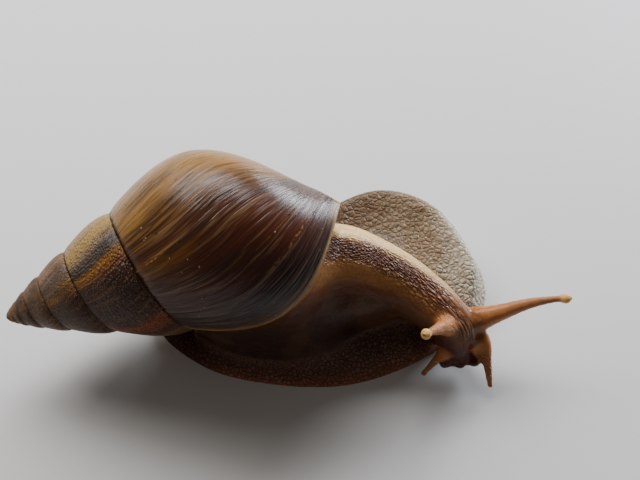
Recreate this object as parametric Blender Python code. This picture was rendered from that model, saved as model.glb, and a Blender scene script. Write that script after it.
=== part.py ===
"""Giant African land snail, a still life-size model.

Metres, +Z up. The snail crawls along +X with its left side toward +Y, and its sole lies on Z = 0.
The shell follows one helico-spiral law and is parted into whorls. The flesh is modelled whole
from a foot, a trunk that fills the aperture, a neck, a head and four tentacles, and is then
parted by thin cuts. A point of the shell is named by t, in whorls from the apex, and s: 0 on the
suture, 1 on the next suture and 2 at the base.
"""
import math

import bmesh
import bpy
import numpy as np
from mathutils import Matrix, Vector

MM = 0.001
GAP = 0.3 * MM                    # between neighbouring pieces
HALF_GAP = GAP / 2

# Shell law. Heights and radii are fractions of the shell's length.
SHELL_LENGTH = 115 * MM
WHORLS = 6.6
WHORL_RATIO = 1.694               # growth of the shell in one whorl
SUTURE_HEIGHT, SUTURE_RADIUS, RADIUS_POWER = 0.4744, 0.2074, 0.757
BASE_RADIUS, BASE_RADIUS_POWER, BASE_HEIGHT_POWER = 0.0773, 0.686, 0.774
WALL_ANGLES = (0.536, -0.180, -1.163)      # from the axis, at s = 0, 1 and 2
WALL_FULLNESS = (0.398, 0.256, 0.391, 0.194)
LIP_LAG = (-0.241, -0.625)        # how far a growth line trails round the shell
LIP_WALL = 1.0 * MM
LIP_DEPTH = 0.06                  # whorls from the lip to the back of the mouth's recess
MOUTH_OUTER, MOUTH_INNER = (0.16, 1.88), (1.97, 1.08)  # s at the ends of the mouth's two sides
MANTLE_BACK, MANTLE_FRONT = 0.004, 0.016   # whorls: off the recess's back, and past the lip
MANTLE_TRIM = 0.02                # how much shorter the mantle is than the mouth, in s
MOUTH_RINGS = 6                   # rings of a solid that follows the mouth
BODY_TURN, LIP_LENGTH = 20 * MM, 33 * MM   # length at the mouth of one unit of t, and of s
TURN = 1 + (LIP_LAG[0] / 2 + LIP_LAG[1] / 4) / (2 * math.pi)   # t from one suture to the next

# Shell pose: where the apex is, and how the axis points.
APEX = (-91.4 * MM, -21.2 * MM, 22.9 * MM)
SHELL_HEADING, SHELL_SLOPE, SHELL_ROLL = 16.5, 11.85, -10.8   # degrees

# Facets of the shell: round one turn, from suture to suture, and from suture to base.
STEPS, ROWS, BASE_ROWS = 26, 5, 7
CRESCENT_OUTER, CRESCENT_INNER = 15, 8
LAST = round(6.5 * STEPS)         # index of the lip, with index 0 at the apex
APEX_DOME = 1.3 * MM
WHORL_PIECES = (
    ("shell_apex", 0, LAST - 3 * STEPS),
    ("shell_middle_whorl", LAST - 3 * STEPS, LAST - 2 * STEPS),
    ("shell_penultimate_whorl", LAST - 2 * STEPS, LAST - STEPS),
    ("shell_body_whorl", LAST - STEPS, LAST),
)

# Foot, in millimetres: x, y and the height of the rolled edge, from the tail along the right side.
FOOT_EDGE = (
    (-46, -12, 3), (-28, -28, 5), (-4, -34.2, 7), (20, -34.4, 8), (41, -27.5, 7), (57, -17, 5),
    (69.5, -5, 8), (70.5, 13, 14), (57, 36, 17), (36, 45, 17.5), (15, 38, 16.5), (-10, 22, 10),
    (-33, 4, 5),
)
FOOT_FRONT = 5.5                  # where along FOOT_EDGE the front of the foot is
FOOT_SPINE = ((-33, -12, 8), (-5, -8, 17), (19, -3, 20), (36, -6, 19), (47, -12, 15), (54, -15, 9))
FRINGE_HEIGHT, FRINGE_WIDTH = 2.6, 3.5     # thin border of the sole
EDGE_WIDTH = 7.0                  # how far in from the fringe the rolled edge reaches
VALLEY = 0.2                      # depth of the dip between edge and spine, as a share of the edge
ROLL_START = 0.6                  # where the rolled edge begins, as a share of the fringe's width
FRINGE_POWER, ROLL_POWER, RISE_POWER = 0.7, 1.2, 1.5   # roundness of fringe, roll and flank
VALLEY_EDGE = 8.5                 # only edges higher than this have a dip behind them
FOOT_SEGMENTS = 64
FOOT_RINGS, RING_CROWDING = 16, 1.6        # rings, and how they crowd toward the margin
SPINE_STEPS = 12
SOLE_DEPTH = 2.0                  # how far the blank reaches under the floor before it is cut flat

# Trunk, in millimetres: centre, half length and half width of its spread on the foot.
TRUNK_FOOT = (1, -8, 5, 36, 23)
TRUNK_FLARE = 0.5
TRUNK_LEVELS = (0, 0.12, 0.28, 0.5, 0.75, 1)
TRUNK_REACH = 0.012               # whorls: how far its top comes out of the mouth
TRUNK_INSET, TRUNK_RISE = 2.2 * MM, 1.0 * MM   # off the lip, and off the whorl inside the mouth

# Neck and head, in millimetres: centre, half width, half height.
NECK = (
    (6, -6, 36, 13, 10), (18, -4, 33, 12, 11), (27, -4, 28, 11, 10.5), (36.5, -7, 24.5, 10, 10),
    (46, -13, 20.5, 9, 9.5), (53, -18.5, 17, 8, 9), (56.3, -21.5, 13, 7.5, 7.5),
    (57.8, -23.8, 8.8, 7, 5.5), (58.6, -26.3, 5.6, 6, 3.2),
)
LIPS = ((53.2, -28.3, 5.6, 2.3), (58.4, -28.6, 5.2, 2.0), (63.2, -27.8, 5.4, 2.3))
TENTACLES = {                     # stations from root to tip: centre and radius
    "tentacle_upper_left": (
        (57, -19.5, 16.5, 5.0), (64, -18.6, 18.2, 4.2), (70, -17.8, 20.5, 3.0), (78.6, -17, 25, 1.95),
        (86, -17.2, 28.2, 1.35), (90, -17.5, 29.3, 1.25)),
    "tentacle_upper_right": (
        (54, -20.5, 18.5, 4.8), (52, -24.5, 23.5, 3.5), (49.6, -27.4, 28, 2.5),
        (46.6, -31, 33, 1.75), (44, -34, 37, 1.3), (42.6, -35.6, 39, 1.25)),
    "tentacle_lower_left": (
        (61.5, -21.5, 14, 4.2), (65.4, -24.2, 11.8, 3.2), (67, -29, 8.2, 1.9), (67.9, -35.9, 3.6, 1.0)),
    "tentacle_lower_right": (
        (54, -24.5, 11.5, 2.8), (51.4, -27.8, 10.2, 1.9), (48.5, -30, 7.5, 1.3),
        (45.8, -32.2, 5, 1.0)),
}
UPPERS = ("tentacle_upper_left", "tentacle_upper_right")
TENTACLE_CUTS = {"upper": ((0.27, 0.6, 0.86), ("base", "middle", "tip")), "lower": ((0.79,), ("",))}
KNOB_RADIUS = 1.75 * MM           # bulb that ends an upper tentacle
EYE_RADIUS = 0.6 * MM
EYE_SINK = 0.35                   # how deep an eye's middle lies in the bulb, in radii of the eye
NECK_STEPS, NECK_SIDES = 5, 32
TENTACLE_STEPS, TENTACLE_SIDES = 8, 16
DOME = (20, 45, 70, 85)           # rings of a tube's rounded end, in degrees
BALL_SEGMENTS, BALL_RINGS = 12, 8

# Cuts through the flesh.
VOXEL = 0.6 * MM
SMOOTHING = 6
FLESH_FACES = 3250
FINE_MIDDLE, FINE_RADIUS = (62, -24, 18), 34 * MM      # room of the head and the feelers
FINE_WEIGHT, FINE_FACTOR = 0.9, 0.02      # how much finer the faces there are kept
SLIVER = 2 * MM ** 3
TRUNK_FLOOR = 9 * MM              # height of the foot under the trunk and the neck
TRUNK_FRONT, NECK_MIDDLE = 13 * MM, 34 * MM
FOOT_CUTS = (-14 * MM, 26 * MM)
HEAD_PLACE = (47.5, -14.5, 8.5)   # rear edge of the head's underside, in millimetres
HEAD_HEADING, HEAD_PITCH, HEAD_REACH = -57, 24, 15 * MM
HEAD_DEPTH, HEAD_LENGTH, HEAD_HEIGHT = 30 * MM, 50 * MM, 60 * MM   # room round the head
VALLEY_REACH = 14                 # from the neck's middle to the valley on its left, in millimetres
FAR = 100 * MM                    # past the model on every side
DISC_REACH, DISC_SEGMENTS = 1.7, 24        # knife for a tentacle, in radii of the tentacle

# Looks: colour and roughness of every piece; nothing is metallic.
LOOKS = {
    "shell_apex": ((0.30, 0.16, 0.08), 0.5),
    "shell_middle_whorl": ((0.25, 0.15, 0.09), 0.5),
    "shell_penultimate_whorl": ((0.24, 0.13, 0.06), 0.45),
    "shell_body_whorl": ((0.17, 0.09, 0.045), 0.3),
    "mantle_collar": ((0.36, 0.24, 0.15), 0.4),
    "foot_tail": ((0.16, 0.08, 0.05), 0.45),
    "foot_middle": ((0.20, 0.13, 0.09), 0.45),
    "foot_front": ((0.38, 0.31, 0.21), 0.4),
    "trunk": ((0.12, 0.06, 0.04), 0.45),
    "neck_rear": ((0.34, 0.20, 0.11), 0.45),
    "neck_front": ((0.36, 0.20, 0.10), 0.45),
    "head": ((0.36, 0.17, 0.07), 0.35),
    "tentacle_upper_left": ((0.45, 0.24, 0.10), 0.35),
    "tentacle_upper_right": ((0.45, 0.24, 0.10), 0.35),
    "tentacle_lower_left": ((0.40, 0.19, 0.08), 0.35),
    "tentacle_lower_right": ((0.40, 0.19, 0.08), 0.35),
    "eye_left": ((0.02, 0.012, 0.01), 0.2),
    "eye_right": ((0.02, 0.012, 0.01), 0.2),
}
SHARP_ANGLE = 40                  # degrees; edges sharper than this stay sharp


# ---------------------------------------------------------------- the shell's law

def suture(t):
    """Radius and height of the suture, as fractions of the shell's length."""
    size = WHORL_RATIO ** (t - WHORLS)
    return np.stack([SUTURE_RADIUS * size ** RADIUS_POWER, SUTURE_HEIGHT * size], -1)


def base_end(t):
    size = WHORL_RATIO ** (t - WHORLS)
    return np.stack([BASE_RADIUS * size ** BASE_RADIUS_POWER, size ** BASE_HEIGHT_POWER], -1)


def bezier(start, leave, arrive, end, share):
    share = share[..., None]
    rest = 1 - share
    return start * rest**3 + 3 * leave * share * rest**2 + 3 * arrive * share**2 * rest + end * share**3


def wall_outline(t, s):
    """Radius and height of the shell's outer wall, as fractions of its length."""
    top, low, base = suture(t), suture(t + TURN), base_end(t)
    way_top, way_low, way_base = (np.array([math.sin(a), math.cos(a)]) for a in WALL_ANGLES)
    upper = np.linalg.norm(low - top, axis=-1, keepdims=True)
    lower = np.linalg.norm(base - low, axis=-1, keepdims=True)
    full = WALL_FULLNESS
    whorl = bezier(top, top + way_top * upper * full[0], low - way_low * upper * full[1], low,
                   np.clip(s, 0, 1))
    skirt = bezier(low, low + way_low * lower * full[2], base - way_base * lower * full[3], base,
                   np.clip(s - 1, 0, 1))
    return np.where((s <= 1)[..., None], whorl, skirt)


def shell_axes():
    """Columns: from the axis toward the lip, the way of growth there, and apex to base."""
    heading, slope, roll = (math.radians(v) for v in (SHELL_HEADING, SHELL_SLOPE, SHELL_ROLL))
    axis = Vector((math.cos(slope) * math.cos(heading), math.cos(slope) * math.sin(heading),
                   math.sin(slope)))
    right = axis.cross(Vector((0, 0, 1))).normalized()
    toward_lip = math.cos(roll) * right + math.sin(roll) * right.cross(axis)
    return np.array([toward_lip, axis.cross(toward_lip), axis]).T


def place_on_shell(radius, height, angle):
    local = np.stack([radius * np.cos(angle), radius * np.sin(angle), height], -1)
    return local @ shell_axes().T + np.array(APEX)


def shell_point(t, s, inset=0.0):
    """A point of the outer wall, moved inward by inset."""
    t, s = np.broadcast_arrays(np.asarray(t, float), np.asarray(s, float))
    here = wall_outline(t, s) * SHELL_LENGTH
    way = wall_outline(t, s + 0.01) - wall_outline(t, s - 0.01)
    way /= np.linalg.norm(way, axis=-1, keepdims=True)
    radius = here[..., 0] - inset * way[..., 1]
    height = here[..., 1] + inset * way[..., 0]
    trail = LIP_LAG[0] * s / 2 + LIP_LAG[1] * (s / 2) ** 2
    return place_on_shell(radius, height, 2 * math.pi * (t - WHORLS) + trail)


def whorl_at(index):
    return WHORLS - (LAST - index) * TURN / STEPS


# ---------------------------------------------------------------- meshes

def mesh_object(name, points, faces):
    mesh = bpy.data.meshes.new(name)
    mesh.from_pydata([tuple(p) for p in points], [], faces)
    work = bmesh.new()
    work.from_mesh(mesh)
    bmesh.ops.recalc_face_normals(work, faces=work.faces)
    work.to_mesh(mesh)
    work.free()
    item = bpy.data.objects.new(name, mesh)
    bpy.context.collection.objects.link(item)
    return item


def remove(item):
    bpy.data.objects.remove(item, do_unlink=True)


def apply_modifiers(item):
    graph = bpy.context.evaluated_depsgraph_get()
    graph.update()
    solid = bpy.data.meshes.new_from_object(item.evaluated_get(graph))
    item.modifiers.clear()
    item.data = solid


def cut(item, cutter, operation="DIFFERENCE"):
    tool = item.modifiers.new("cut", "BOOLEAN")
    tool.operation, tool.object, tool.solver = operation, cutter, "EXACT"
    apply_modifiers(item)
    remove(cutter)
    drop_slivers(item)


def bodies_of(work):
    """The sets of vertices that hang together in a bmesh."""
    left = set(work.verts)
    bodies = []
    while left:
        body, edge = set(), [left.pop()]
        while edge:
            vertex = edge.pop()
            body.add(vertex)
            for link in vertex.link_edges:
                other = link.other_vert(vertex)
                if other in left:
                    left.discard(other)
                    edge.append(other)
        bodies.append(body)
    return bodies


def volume_of(item):
    work = bmesh.new()
    work.from_mesh(item.data)
    volume = abs(work.calc_volume())
    work.free()
    return volume


def loose_parts(item, name):
    """The closed bodies of an object, each in an object of its own, largest first."""
    work = bmesh.new()
    work.from_mesh(item.data)
    remove(item)
    items = []
    for body in bodies_of(work):
        order = {vertex: k for k, vertex in enumerate(sorted(body, key=lambda v: v.index))}
        faces = [tuple(order[v] for v in face.verts) for face in work.faces if face.verts[0] in body]
        items.append(mesh_object(name, [v.co.copy() for v in order], faces))
    work.free()
    return sorted(items, key=volume_of, reverse=True)


def drop_slivers(item):
    """Deletes bodies too thin to be a piece, which a cut can leave behind."""
    work = bmesh.new()
    work.from_mesh(item.data)
    for body in bodies_of(work):
        faces = {face for vertex in body for face in vertex.link_faces}
        volume = sum(face.calc_area() * face.normal.dot(face.calc_center_median()) for face in faces) / 3
        if abs(volume) < SLIVER:
            bmesh.ops.delete(work, geom=list(body), context="VERTS")
    work.to_mesh(item.data)
    work.free()


def copy_of(item, name):
    twin = item.copy()
    twin.data = item.data.copy()
    twin.name = name
    bpy.context.collection.objects.link(twin)
    return twin


def stitch(near, far, near_at=None, far_at=None):
    """Triangles between two chains of vertices, each met in the order of its values."""
    near_at = np.linspace(0, 1, len(near)) if near_at is None else near_at
    far_at = np.linspace(0, 1, len(far)) if far_at is None else far_at
    a = b = 0
    faces = []
    while a < len(near) - 1 or b < len(far) - 1:
        if b == len(far) - 1 or (a < len(near) - 1 and near_at[a + 1] <= far_at[b + 1]):
            corners = (near[a], near[a + 1], far[b])
            a += 1
        else:
            corners = (near[a], far[b + 1], far[b])
            b += 1
        if len(set(corners)) == 3:
            faces.append(corners)
    return faces


def loft(name, rings):
    """Closed solid through rings of equal length, with flat ends."""
    count = len(rings[0])
    points = [p for ring in rings for p in ring]
    faces = [tuple(range(count)), tuple(range(len(points) - count, len(points)))]
    for row in range(len(rings) - 1):
        for k in range(count):
            a, b = row * count + k, row * count + (k + 1) % count
            faces.append((a, b, b + count, a + count))
    return mesh_object(name, points, faces)


def box(name, low, high, placement=None):
    corners = [(x, y, z) for z in (low[2], high[2]) for x, y in
               ((low[0], low[1]), (high[0], low[1]), (high[0], high[1]), (low[0], high[1]))]
    if placement:
        corners = [placement @ Vector(c) for c in corners]
    return loft(name, [corners[:4], corners[4:]])


def smooth_path(stations, steps):
    """Catmull-Rom curve through rows of numbers, steps samples to a span."""
    rows = np.array(stations, float)
    ends = np.vstack([2 * rows[0] - rows[1], rows, 2 * rows[-1] - rows[-2]])
    path = []
    for k in range(len(rows) - 1):
        a, b, c, d = ends[k:k + 4]
        for share in np.linspace(0, 1, steps, endpoint=False):
            path.append(b + 0.5 * share * (c - a + share * (2 * a - 5 * b + 4 * c - d
                                                            + share * (3 * (b - c) + d - a))))
    return np.array(path + [rows[-1]])


def closed_path(stations, steps):
    """The same curve through a closed ring of stations."""
    rows = list(stations)
    whole = smooth_path(rows[-2:] + rows + rows[:2], steps)
    return whole[2 * steps:(2 + len(rows)) * steps]


def tube_rings(path, sides, rounded=(True, True)):
    """Elliptic rings along rows of centre, half width and half height, with domed ends."""
    centre = path[:, :3]
    way = np.gradient(centre, axis=0)
    way /= np.linalg.norm(way, axis=1, keepdims=True)
    across = np.cross(way, (0, 0, 1))
    across /= np.linalg.norm(across, axis=1, keepdims=True)
    above = np.cross(across, way)
    turn = np.linspace(0, 2 * math.pi, sides, endpoint=False)[:, None]

    def ring(k, push, size):
        middle = centre[k] + way[k] * push * path[k, 4]
        return (middle + size * (path[k, 3] * np.cos(turn) * across[k]
                                 + path[k, 4] * np.sin(turn) * above[k]))

    dome = [math.radians(a) for a in DOME]
    rings = [ring(k, 0, 1) for k in range(len(path))]
    if rounded[0]:
        rings = [ring(0, -math.sin(a), math.cos(a)) for a in reversed(dome)] + rings
    if rounded[1]:
        rings += [ring(len(path) - 1, math.sin(a), math.cos(a)) for a in dome]
    return rings


# ---------------------------------------------------------------- the shell's pieces

class Coil:
    """Closed solid of the coil from index first to index last."""

    def __init__(self, first, last, half_gap, inset=0.0):
        self.first, self.last = first, last
        self.half_gap, self.inset = half_gap, inset
        self.is_body = last == LAST
        self.one_turn = last - first == STEPS
        self.points, self.number, self.faces = [], {}, []

    def wall_vertex(self, i, j):
        """Vertex at index i and row j of the outer wall; rows past ROWS are the base."""
        joined = i + STEPS <= self.last and (self.is_body or not self.one_turn)
        if j == ROWS and joined:
            i, j = i + STEPS, 0
        key = (i, j)
        if key not in self.number:
            s = j / ROWS if j <= ROWS else 1 + (j - ROWS) / BASE_ROWS
            t = whorl_at(i)
            pace = self.half_gap / (SHELL_LENGTH * float(np.linalg.norm(suture(t + TURN) - suture(t))))
            spin = self.half_gap / (2 * math.pi * SHELL_LENGTH * float(suture(t + TURN / 2)[0]))
            if j == 0 and i <= self.first + STEPS and self.first > 0:
                s += pace
            if j == ROWS and i >= self.last - STEPS and not self.is_body:
                s -= pace
            if self.first > 0 and (i == self.first or (i, j) == (LAST, 0)):
                t += spin
            if i == self.last and not self.is_body:
                t -= spin
            self.add(key, shell_point(t, s, self.inset))
        return self.number[key]

    def add(self, key, point):
        self.number[key] = len(self.points)
        self.points.append(tuple(point))

    def axis_vertex(self, i, side):
        """Vertex near the axis at the suture of index i: side +1 under a ramp, -1 above one."""
        middle = self.one_turn and not self.is_body and i == self.last
        key = ("axis", i, 0 if middle else side)
        if key not in self.number:
            start = self.first if side > 0 else self.last
            half_sector = math.pi * (i - start) / STEPS
            angle = 2 * math.pi * (whorl_at(start) - WHORLS) + half_sector
            angle += 0.0 if side > 0 else math.pi
            push = 0.0 if middle else self.half_gap
            height = SHELL_LENGTH * float(suture(whorl_at(i))[1]) + side * push
            height -= APEX_DOME if start == 0 else 0.0
            self.add(key, place_on_shell(push * math.sin(half_sector), height, angle))
        return self.number[key]

    def base_vertex(self, i):
        key = ("base", i)
        if key not in self.number:
            self.add(key, place_on_shell(0.0, SHELL_LENGTH * float(base_end(whorl_at(i))[1]), 0.0))
        return self.number[key]

    def outer_wall(self):
        for i in range(self.first, self.last):
            rows = ROWS + BASE_ROWS if self.is_body and i >= self.last - STEPS else ROWS
            for j in range(rows):
                corners = [self.wall_vertex(i, j), self.wall_vertex(i + 1, j),
                           self.wall_vertex(i + 1, j + 1), self.wall_vertex(i, j + 1)]
                self.faces.append(tuple(corners[:3]))
                self.faces.append((corners[0], corners[2], corners[3]))

    def tread(self, rim, hub, early):
        """Two triangles of a stair, split so that no riser uses the same diagonal."""
        if early:
            self.faces += [(rim[0], rim[1], hub[0]), (rim[1], hub[1], hub[0])]
        else:
            self.faces += [(rim[0], rim[1], hub[1]), (rim[0], hub[1], hub[0])]

    def ramp(self, start, side, row):
        """Stair of one turn from the suture to the axis."""
        back = STEPS if row == ROWS else 0
        for i in range(start, start + STEPS):
            rim = self.wall_vertex(i - back, row), self.wall_vertex(i + 1 - back, row)
            hub = self.axis_vertex(i, side), self.axis_vertex(i + 1, side)
            self.tread(rim, hub, i < start + STEPS // 2)

    def riser(self, i, side):
        """Wall at index i that closes the step between the two ends of a ramp."""
        rim = [self.wall_vertex(i, j) for j in range(ROWS + 1)]
        hub = [self.axis_vertex(k, side) for k in range(i, i + STEPS + 1)]
        self.faces += stitch(rim, hub)

    def base(self):
        """Floor from the base's edge to the axis, and the face of the aperture."""
        edge = ROWS + BASE_ROWS
        start = self.last - STEPS
        for i in range(start, self.last):
            rim = self.wall_vertex(i, edge), self.wall_vertex(i + 1, edge)
            hub = self.base_vertex(i), self.base_vertex(i + 1)
            self.tread(rim, hub, i < start + STEPS // 2)
        lip = [self.wall_vertex(self.last, j) for j in range(edge + 1)]
        inner = [self.wall_vertex(start, j) for j in range(ROWS, edge + 1)]
        hub = [self.base_vertex(k) for k in range(start, self.last + 1)]
        inner_at = list(np.linspace(ROWS / 2, edge, len(inner))) + [edge + 1] * len(hub)
        self.faces += stitch(lip, inner + hub, range(edge + 1), inner_at)

    def build(self, name):
        self.outer_wall()
        self.ramp(self.first, 1, 0)
        self.riser(self.first, 1)
        if self.is_body:
            self.base()
        else:
            self.ramp(self.last, -1, ROWS)
            self.riser(self.last, -1)
        return mesh_object(name, self.points, self.faces)


def crescent_ring(t, inset, rise, trim=0.0):
    """Outline of the aperture at t: inside the lip by inset, off the inner whorl by rise."""
    (top, base), (inner_base, inner_top) = MOUTH_OUTER, MOUTH_INNER
    outer = shell_point(t, np.linspace(top + trim, base - trim, CRESCENT_OUTER), inset)
    inner = shell_point(t - TURN, np.linspace(inner_base - trim, inner_top + trim, CRESCENT_INNER),
                        -rise)
    return [tuple(p) for p in np.vstack([outer, inner])]


def crescent_solid(name, start, end, inset, rise, trim=0.0):
    """Solid that follows the aperture from start to end, with warped ends."""
    rings = [crescent_ring(t, inset, rise, trim) for t in np.linspace(start, end, MOUTH_RINGS)]
    count = len(rings[0])
    faces = []
    for row in range(len(rings) - 1):
        for k in range(count):
            a, b = row * count + k, row * count + (k + 1) % count
            faces += [(a, b, b + count), (a, b + count, a + count)]
    for first in (0, (len(rings) - 1) * count):
        outer = range(first, first + CRESCENT_OUTER)
        inner = range(first + count - 1, first + CRESCENT_OUTER - 1, -1)
        faces += stitch(outer, inner)
    return mesh_object(name, [p for ring in rings for p in ring], faces)


def build_shell():
    pieces = [Coil(first, last, HALF_GAP).build(name) for name, first, last in WHORL_PIECES]
    recess = crescent_solid("recess", WHORLS - LIP_DEPTH, WHORLS + LIP_DEPTH, LIP_WALL, GAP)
    cut(pieces[-1], recess)
    return pieces


def build_mantle(name, extra=0.0):
    """Collar of flesh that fills the recess inside the lip."""
    end = WHORLS + MANTLE_FRONT + extra / BODY_TURN
    return crescent_solid(name, WHORLS - LIP_DEPTH + MANTLE_BACK, end, LIP_WALL + GAP - extra,
                          2 * GAP - extra, MANTLE_TRIM - extra / LIP_LENGTH)


# ---------------------------------------------------------------- the flesh

def build_foot():
    edge = closed_path(FOOT_EDGE, FOOT_SEGMENTS // 8)
    count = len(edge)
    spine = smooth_path(FOOT_SPINE, SPINE_STEPS)
    reach = np.arange(count) * len(FOOT_EDGE) / count
    along = np.where(reach < FOOT_FRONT, reach / FOOT_FRONT,
                     (len(FOOT_EDGE) - reach) / (len(FOOT_EDGE) - FOOT_FRONT))
    inner = spine[np.round(along * (len(spine) - 1)).astype(int)]
    distance = np.linalg.norm(inner[:, :2] - edge[:, :2], axis=1)
    rolled = FRINGE_WIDTH + EDGE_WIDTH
    rings = [np.column_stack([edge[:, :2], np.full(count, -SOLE_DEPTH)])]
    for share in np.linspace(0, 0.99, FOOT_RINGS) ** RING_CROWDING:
        inward = share * distance
        fringe = np.sin(math.pi / 2 * np.clip(inward / FRINGE_WIDTH, 0, 1)) ** FRINGE_POWER
        onto_roll = np.clip((inward - FRINGE_WIDTH * ROLL_START) / EDGE_WIDTH, 0, 1)
        roll = np.sin(math.pi / 2 * onto_roll) ** ROLL_POWER
        past = np.clip((inward - rolled) / (distance - rolled), 0, 1)
        height = FRINGE_HEIGHT * fringe + (edge[:, 2] - FRINGE_HEIGHT) * roll
        height += (inner[:, 2] - edge[:, 2]) * past ** RISE_POWER
        height -= VALLEY * edge[:, 2] * np.sin(math.pi * past) * (edge[:, 2] > VALLEY_EDGE)
        plan = edge[:, :2] + (inner[:, :2] - edge[:, :2]) * share
        rings.append(np.column_stack([plan, height]))
    return loft("foot", [ring * MM for ring in rings])


def build_trunk():
    """Column from the foot up into the aperture."""
    top = np.array(crescent_ring(WHORLS + TRUNK_REACH, TRUNK_INSET, TRUNK_RISE))
    turn = np.linspace(0, 2 * math.pi, len(top), endpoint=False)
    start = math.atan2(top[0, 1] - top[:, 1].mean(), top[0, 0] - top[:, 0].mean())
    x, y, z, length, width = TRUNK_FOOT
    floor = np.column_stack([x + length * np.cos(start + turn), y + width * np.sin(start + turn),
                             np.full(len(top), z)]) * MM
    rings = []
    for level in TRUNK_LEVELS:
        ring = floor + (top - floor) * level ** TRUNK_FLARE
        ring[:, 2] = floor[:, 2] + (top - floor)[:, 2] * level
        rings.append(ring)
    return loft("trunk", rings)


def build_neck():
    return loft("neck", tube_rings(smooth_path(NECK, NECK_STEPS) * MM, NECK_SIDES))


def mesh_from(work, name):
    """Object that takes over the mesh of a bmesh."""
    mesh = bpy.data.meshes.new(name)
    work.to_mesh(mesh)
    work.free()
    item = bpy.data.objects.new(name, mesh)
    bpy.context.collection.objects.link(item)
    return item


def build_ball(name, place, radius):
    work = bmesh.new()
    bmesh.ops.create_uvsphere(work, u_segments=BALL_SEGMENTS, v_segments=BALL_RINGS, radius=radius,
                              matrix=Matrix.Translation(place))
    return mesh_from(work, name)


def tentacle_path(name):
    stations = [(x, y, z, r, r) for x, y, z, r in TENTACLES[name]]
    return smooth_path(stations, TENTACLE_STEPS) * MM


def build_tentacle(name):
    return loft(name, tube_rings(tentacle_path(name), TENTACLE_SIDES))


def join(items, name):
    """One object that holds the meshes of all items."""
    work = bmesh.new()
    for item in items:
        work.from_mesh(item.data)
        remove(item)
    return mesh_from(work, name)


def eye_place(name):
    """Centre of the eye, near the surface of the bulb and on its outer end."""
    path = tentacle_path(name)[:, :3]
    way = path[-1] - path[-4]
    way /= np.linalg.norm(way)
    return Vector(path[-1] + way * (KNOB_RADIUS - EYE_SINK * EYE_RADIUS))


def build_flesh():
    """The whole of the flesh, in one skin, cut flat at the sole and clear of the shell."""
    parts = [build_foot(), build_trunk(), build_neck()]
    parts += [build_ball("lip", (x * MM, y * MM, z * MM), radius * MM) for x, y, z, radius in LIPS]
    parts += [build_tentacle(name) for name in TENTACLES]
    parts += [build_ball("knob", tentacle_path(name)[-1][:3], KNOB_RADIUS) for name in UPPERS]
    flesh = join(parts, "flesh")
    skin = flesh.modifiers.new("skin", "REMESH")
    skin.mode, skin.voxel_size, skin.adaptivity = "VOXEL", VOXEL, 0.0
    soften = flesh.modifiers.new("soften", "SMOOTH")
    soften.factor, soften.iterations = 0.5, SMOOTHING
    apply_modifiers(flesh)
    fine = flesh.vertex_groups.new(name="fine")
    spot = Vector(FINE_MIDDLE) * MM
    near = [v.index for v in flesh.data.vertices if (v.co - spot).length < FINE_RADIUS]
    fine.add(near, FINE_WEIGHT, "REPLACE")
    thin = flesh.modifiers.new("thin", "DECIMATE")
    thin.vertex_group, thin.invert_vertex_group = fine.name, True
    thin.vertex_group_factor = FINE_FACTOR
    thin.ratio = FLESH_FACES / sum(len(face.vertices) - 2 for face in flesh.data.polygons)
    thin.use_collapse_triangulate = True
    apply_modifiers(flesh)
    cut(flesh, box("below", (-2 * FAR, -2 * FAR, -FAR / 2), (2 * FAR, 2 * FAR, 0)))
    cut(flesh, Coil(0, LAST, 0.0, -GAP).build("shell_room"))
    cut(flesh, build_mantle("mantle_room", GAP))
    return flesh


def largest_parts(item, names):
    """The largest bodies of an object, named in the order of their x; the rest is dropped."""
    bodies = loose_parts(item, item.name)
    for body in bodies[len(names):]:
        remove(body)
    kept = sorted(bodies[:len(names)], key=lambda body: middle_of(body).x)
    for body, name in zip(kept, names):
        body.name = name
    return kept


def middle_of(item):
    return sum((v.co for v in item.data.vertices), Vector()) / len(item.data.vertices)


def disc_across(path, share):
    """Thin disc across a tentacle, as the knife that parts it."""
    spot = share * (len(path) - 1)
    k = min(int(spot), len(path) - 2)
    centre = Vector(path[k, :3] + (path[k + 1, :3] - path[k, :3]) * (spot - k))
    way = Vector(path[k + 1, :3] - path[k, :3]).normalized()
    reach = path[k, 3] * DISC_REACH
    work = bmesh.new()
    turn = Matrix.Translation(centre) @ way.to_track_quat("Z", "Y").to_matrix().to_4x4()
    bmesh.ops.create_cone(work, cap_ends=True, segments=DISC_SEGMENTS, radius1=reach, radius2=reach,
                          depth=GAP, matrix=turn)
    return mesh_from(work, "disc")


def part_tentacles(flesh):
    """Cuts every tentacle off the head and into its lengths; returns the body."""
    anchors = {}
    for name in TENTACLES:
        path = tentacle_path(name)
        shares, ends = TENTACLE_CUTS["upper" if name in UPPERS else "lower"]
        for k, share in enumerate(shares):
            cut(flesh, disc_across(path, share))
            after = shares[k + 1] if k + 1 < len(shares) else 1.0
            spot = path[round((share + after) / 2 * (len(path) - 1)), :3]
            anchors[name + ("_" + ends[k] if ends[k] else "")] = Vector(spot)
    bodies = loose_parts(flesh, "flesh")
    for name, spot in anchors.items():
        nearest = min(bodies[1:], key=lambda body: (middle_of(body) - spot).length)
        nearest.name = name
    return bodies[0], [body for body in bodies[1:] if body.name in anchors]


def head_zone(grow):
    x, y, z = (value * MM for value in HEAD_PLACE)
    place = (Matrix.Translation((x, y, z)) @ Matrix.Rotation(math.radians(HEAD_HEADING), 4, "Z")
             @ Matrix.Rotation(math.radians(HEAD_PITCH), 4, "Y"))
    return box("head_zone", (-grow, -HEAD_DEPTH, -grow), (HEAD_LENGTH, HEAD_REACH + grow, HEAD_HEIGHT),
               place)


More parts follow.
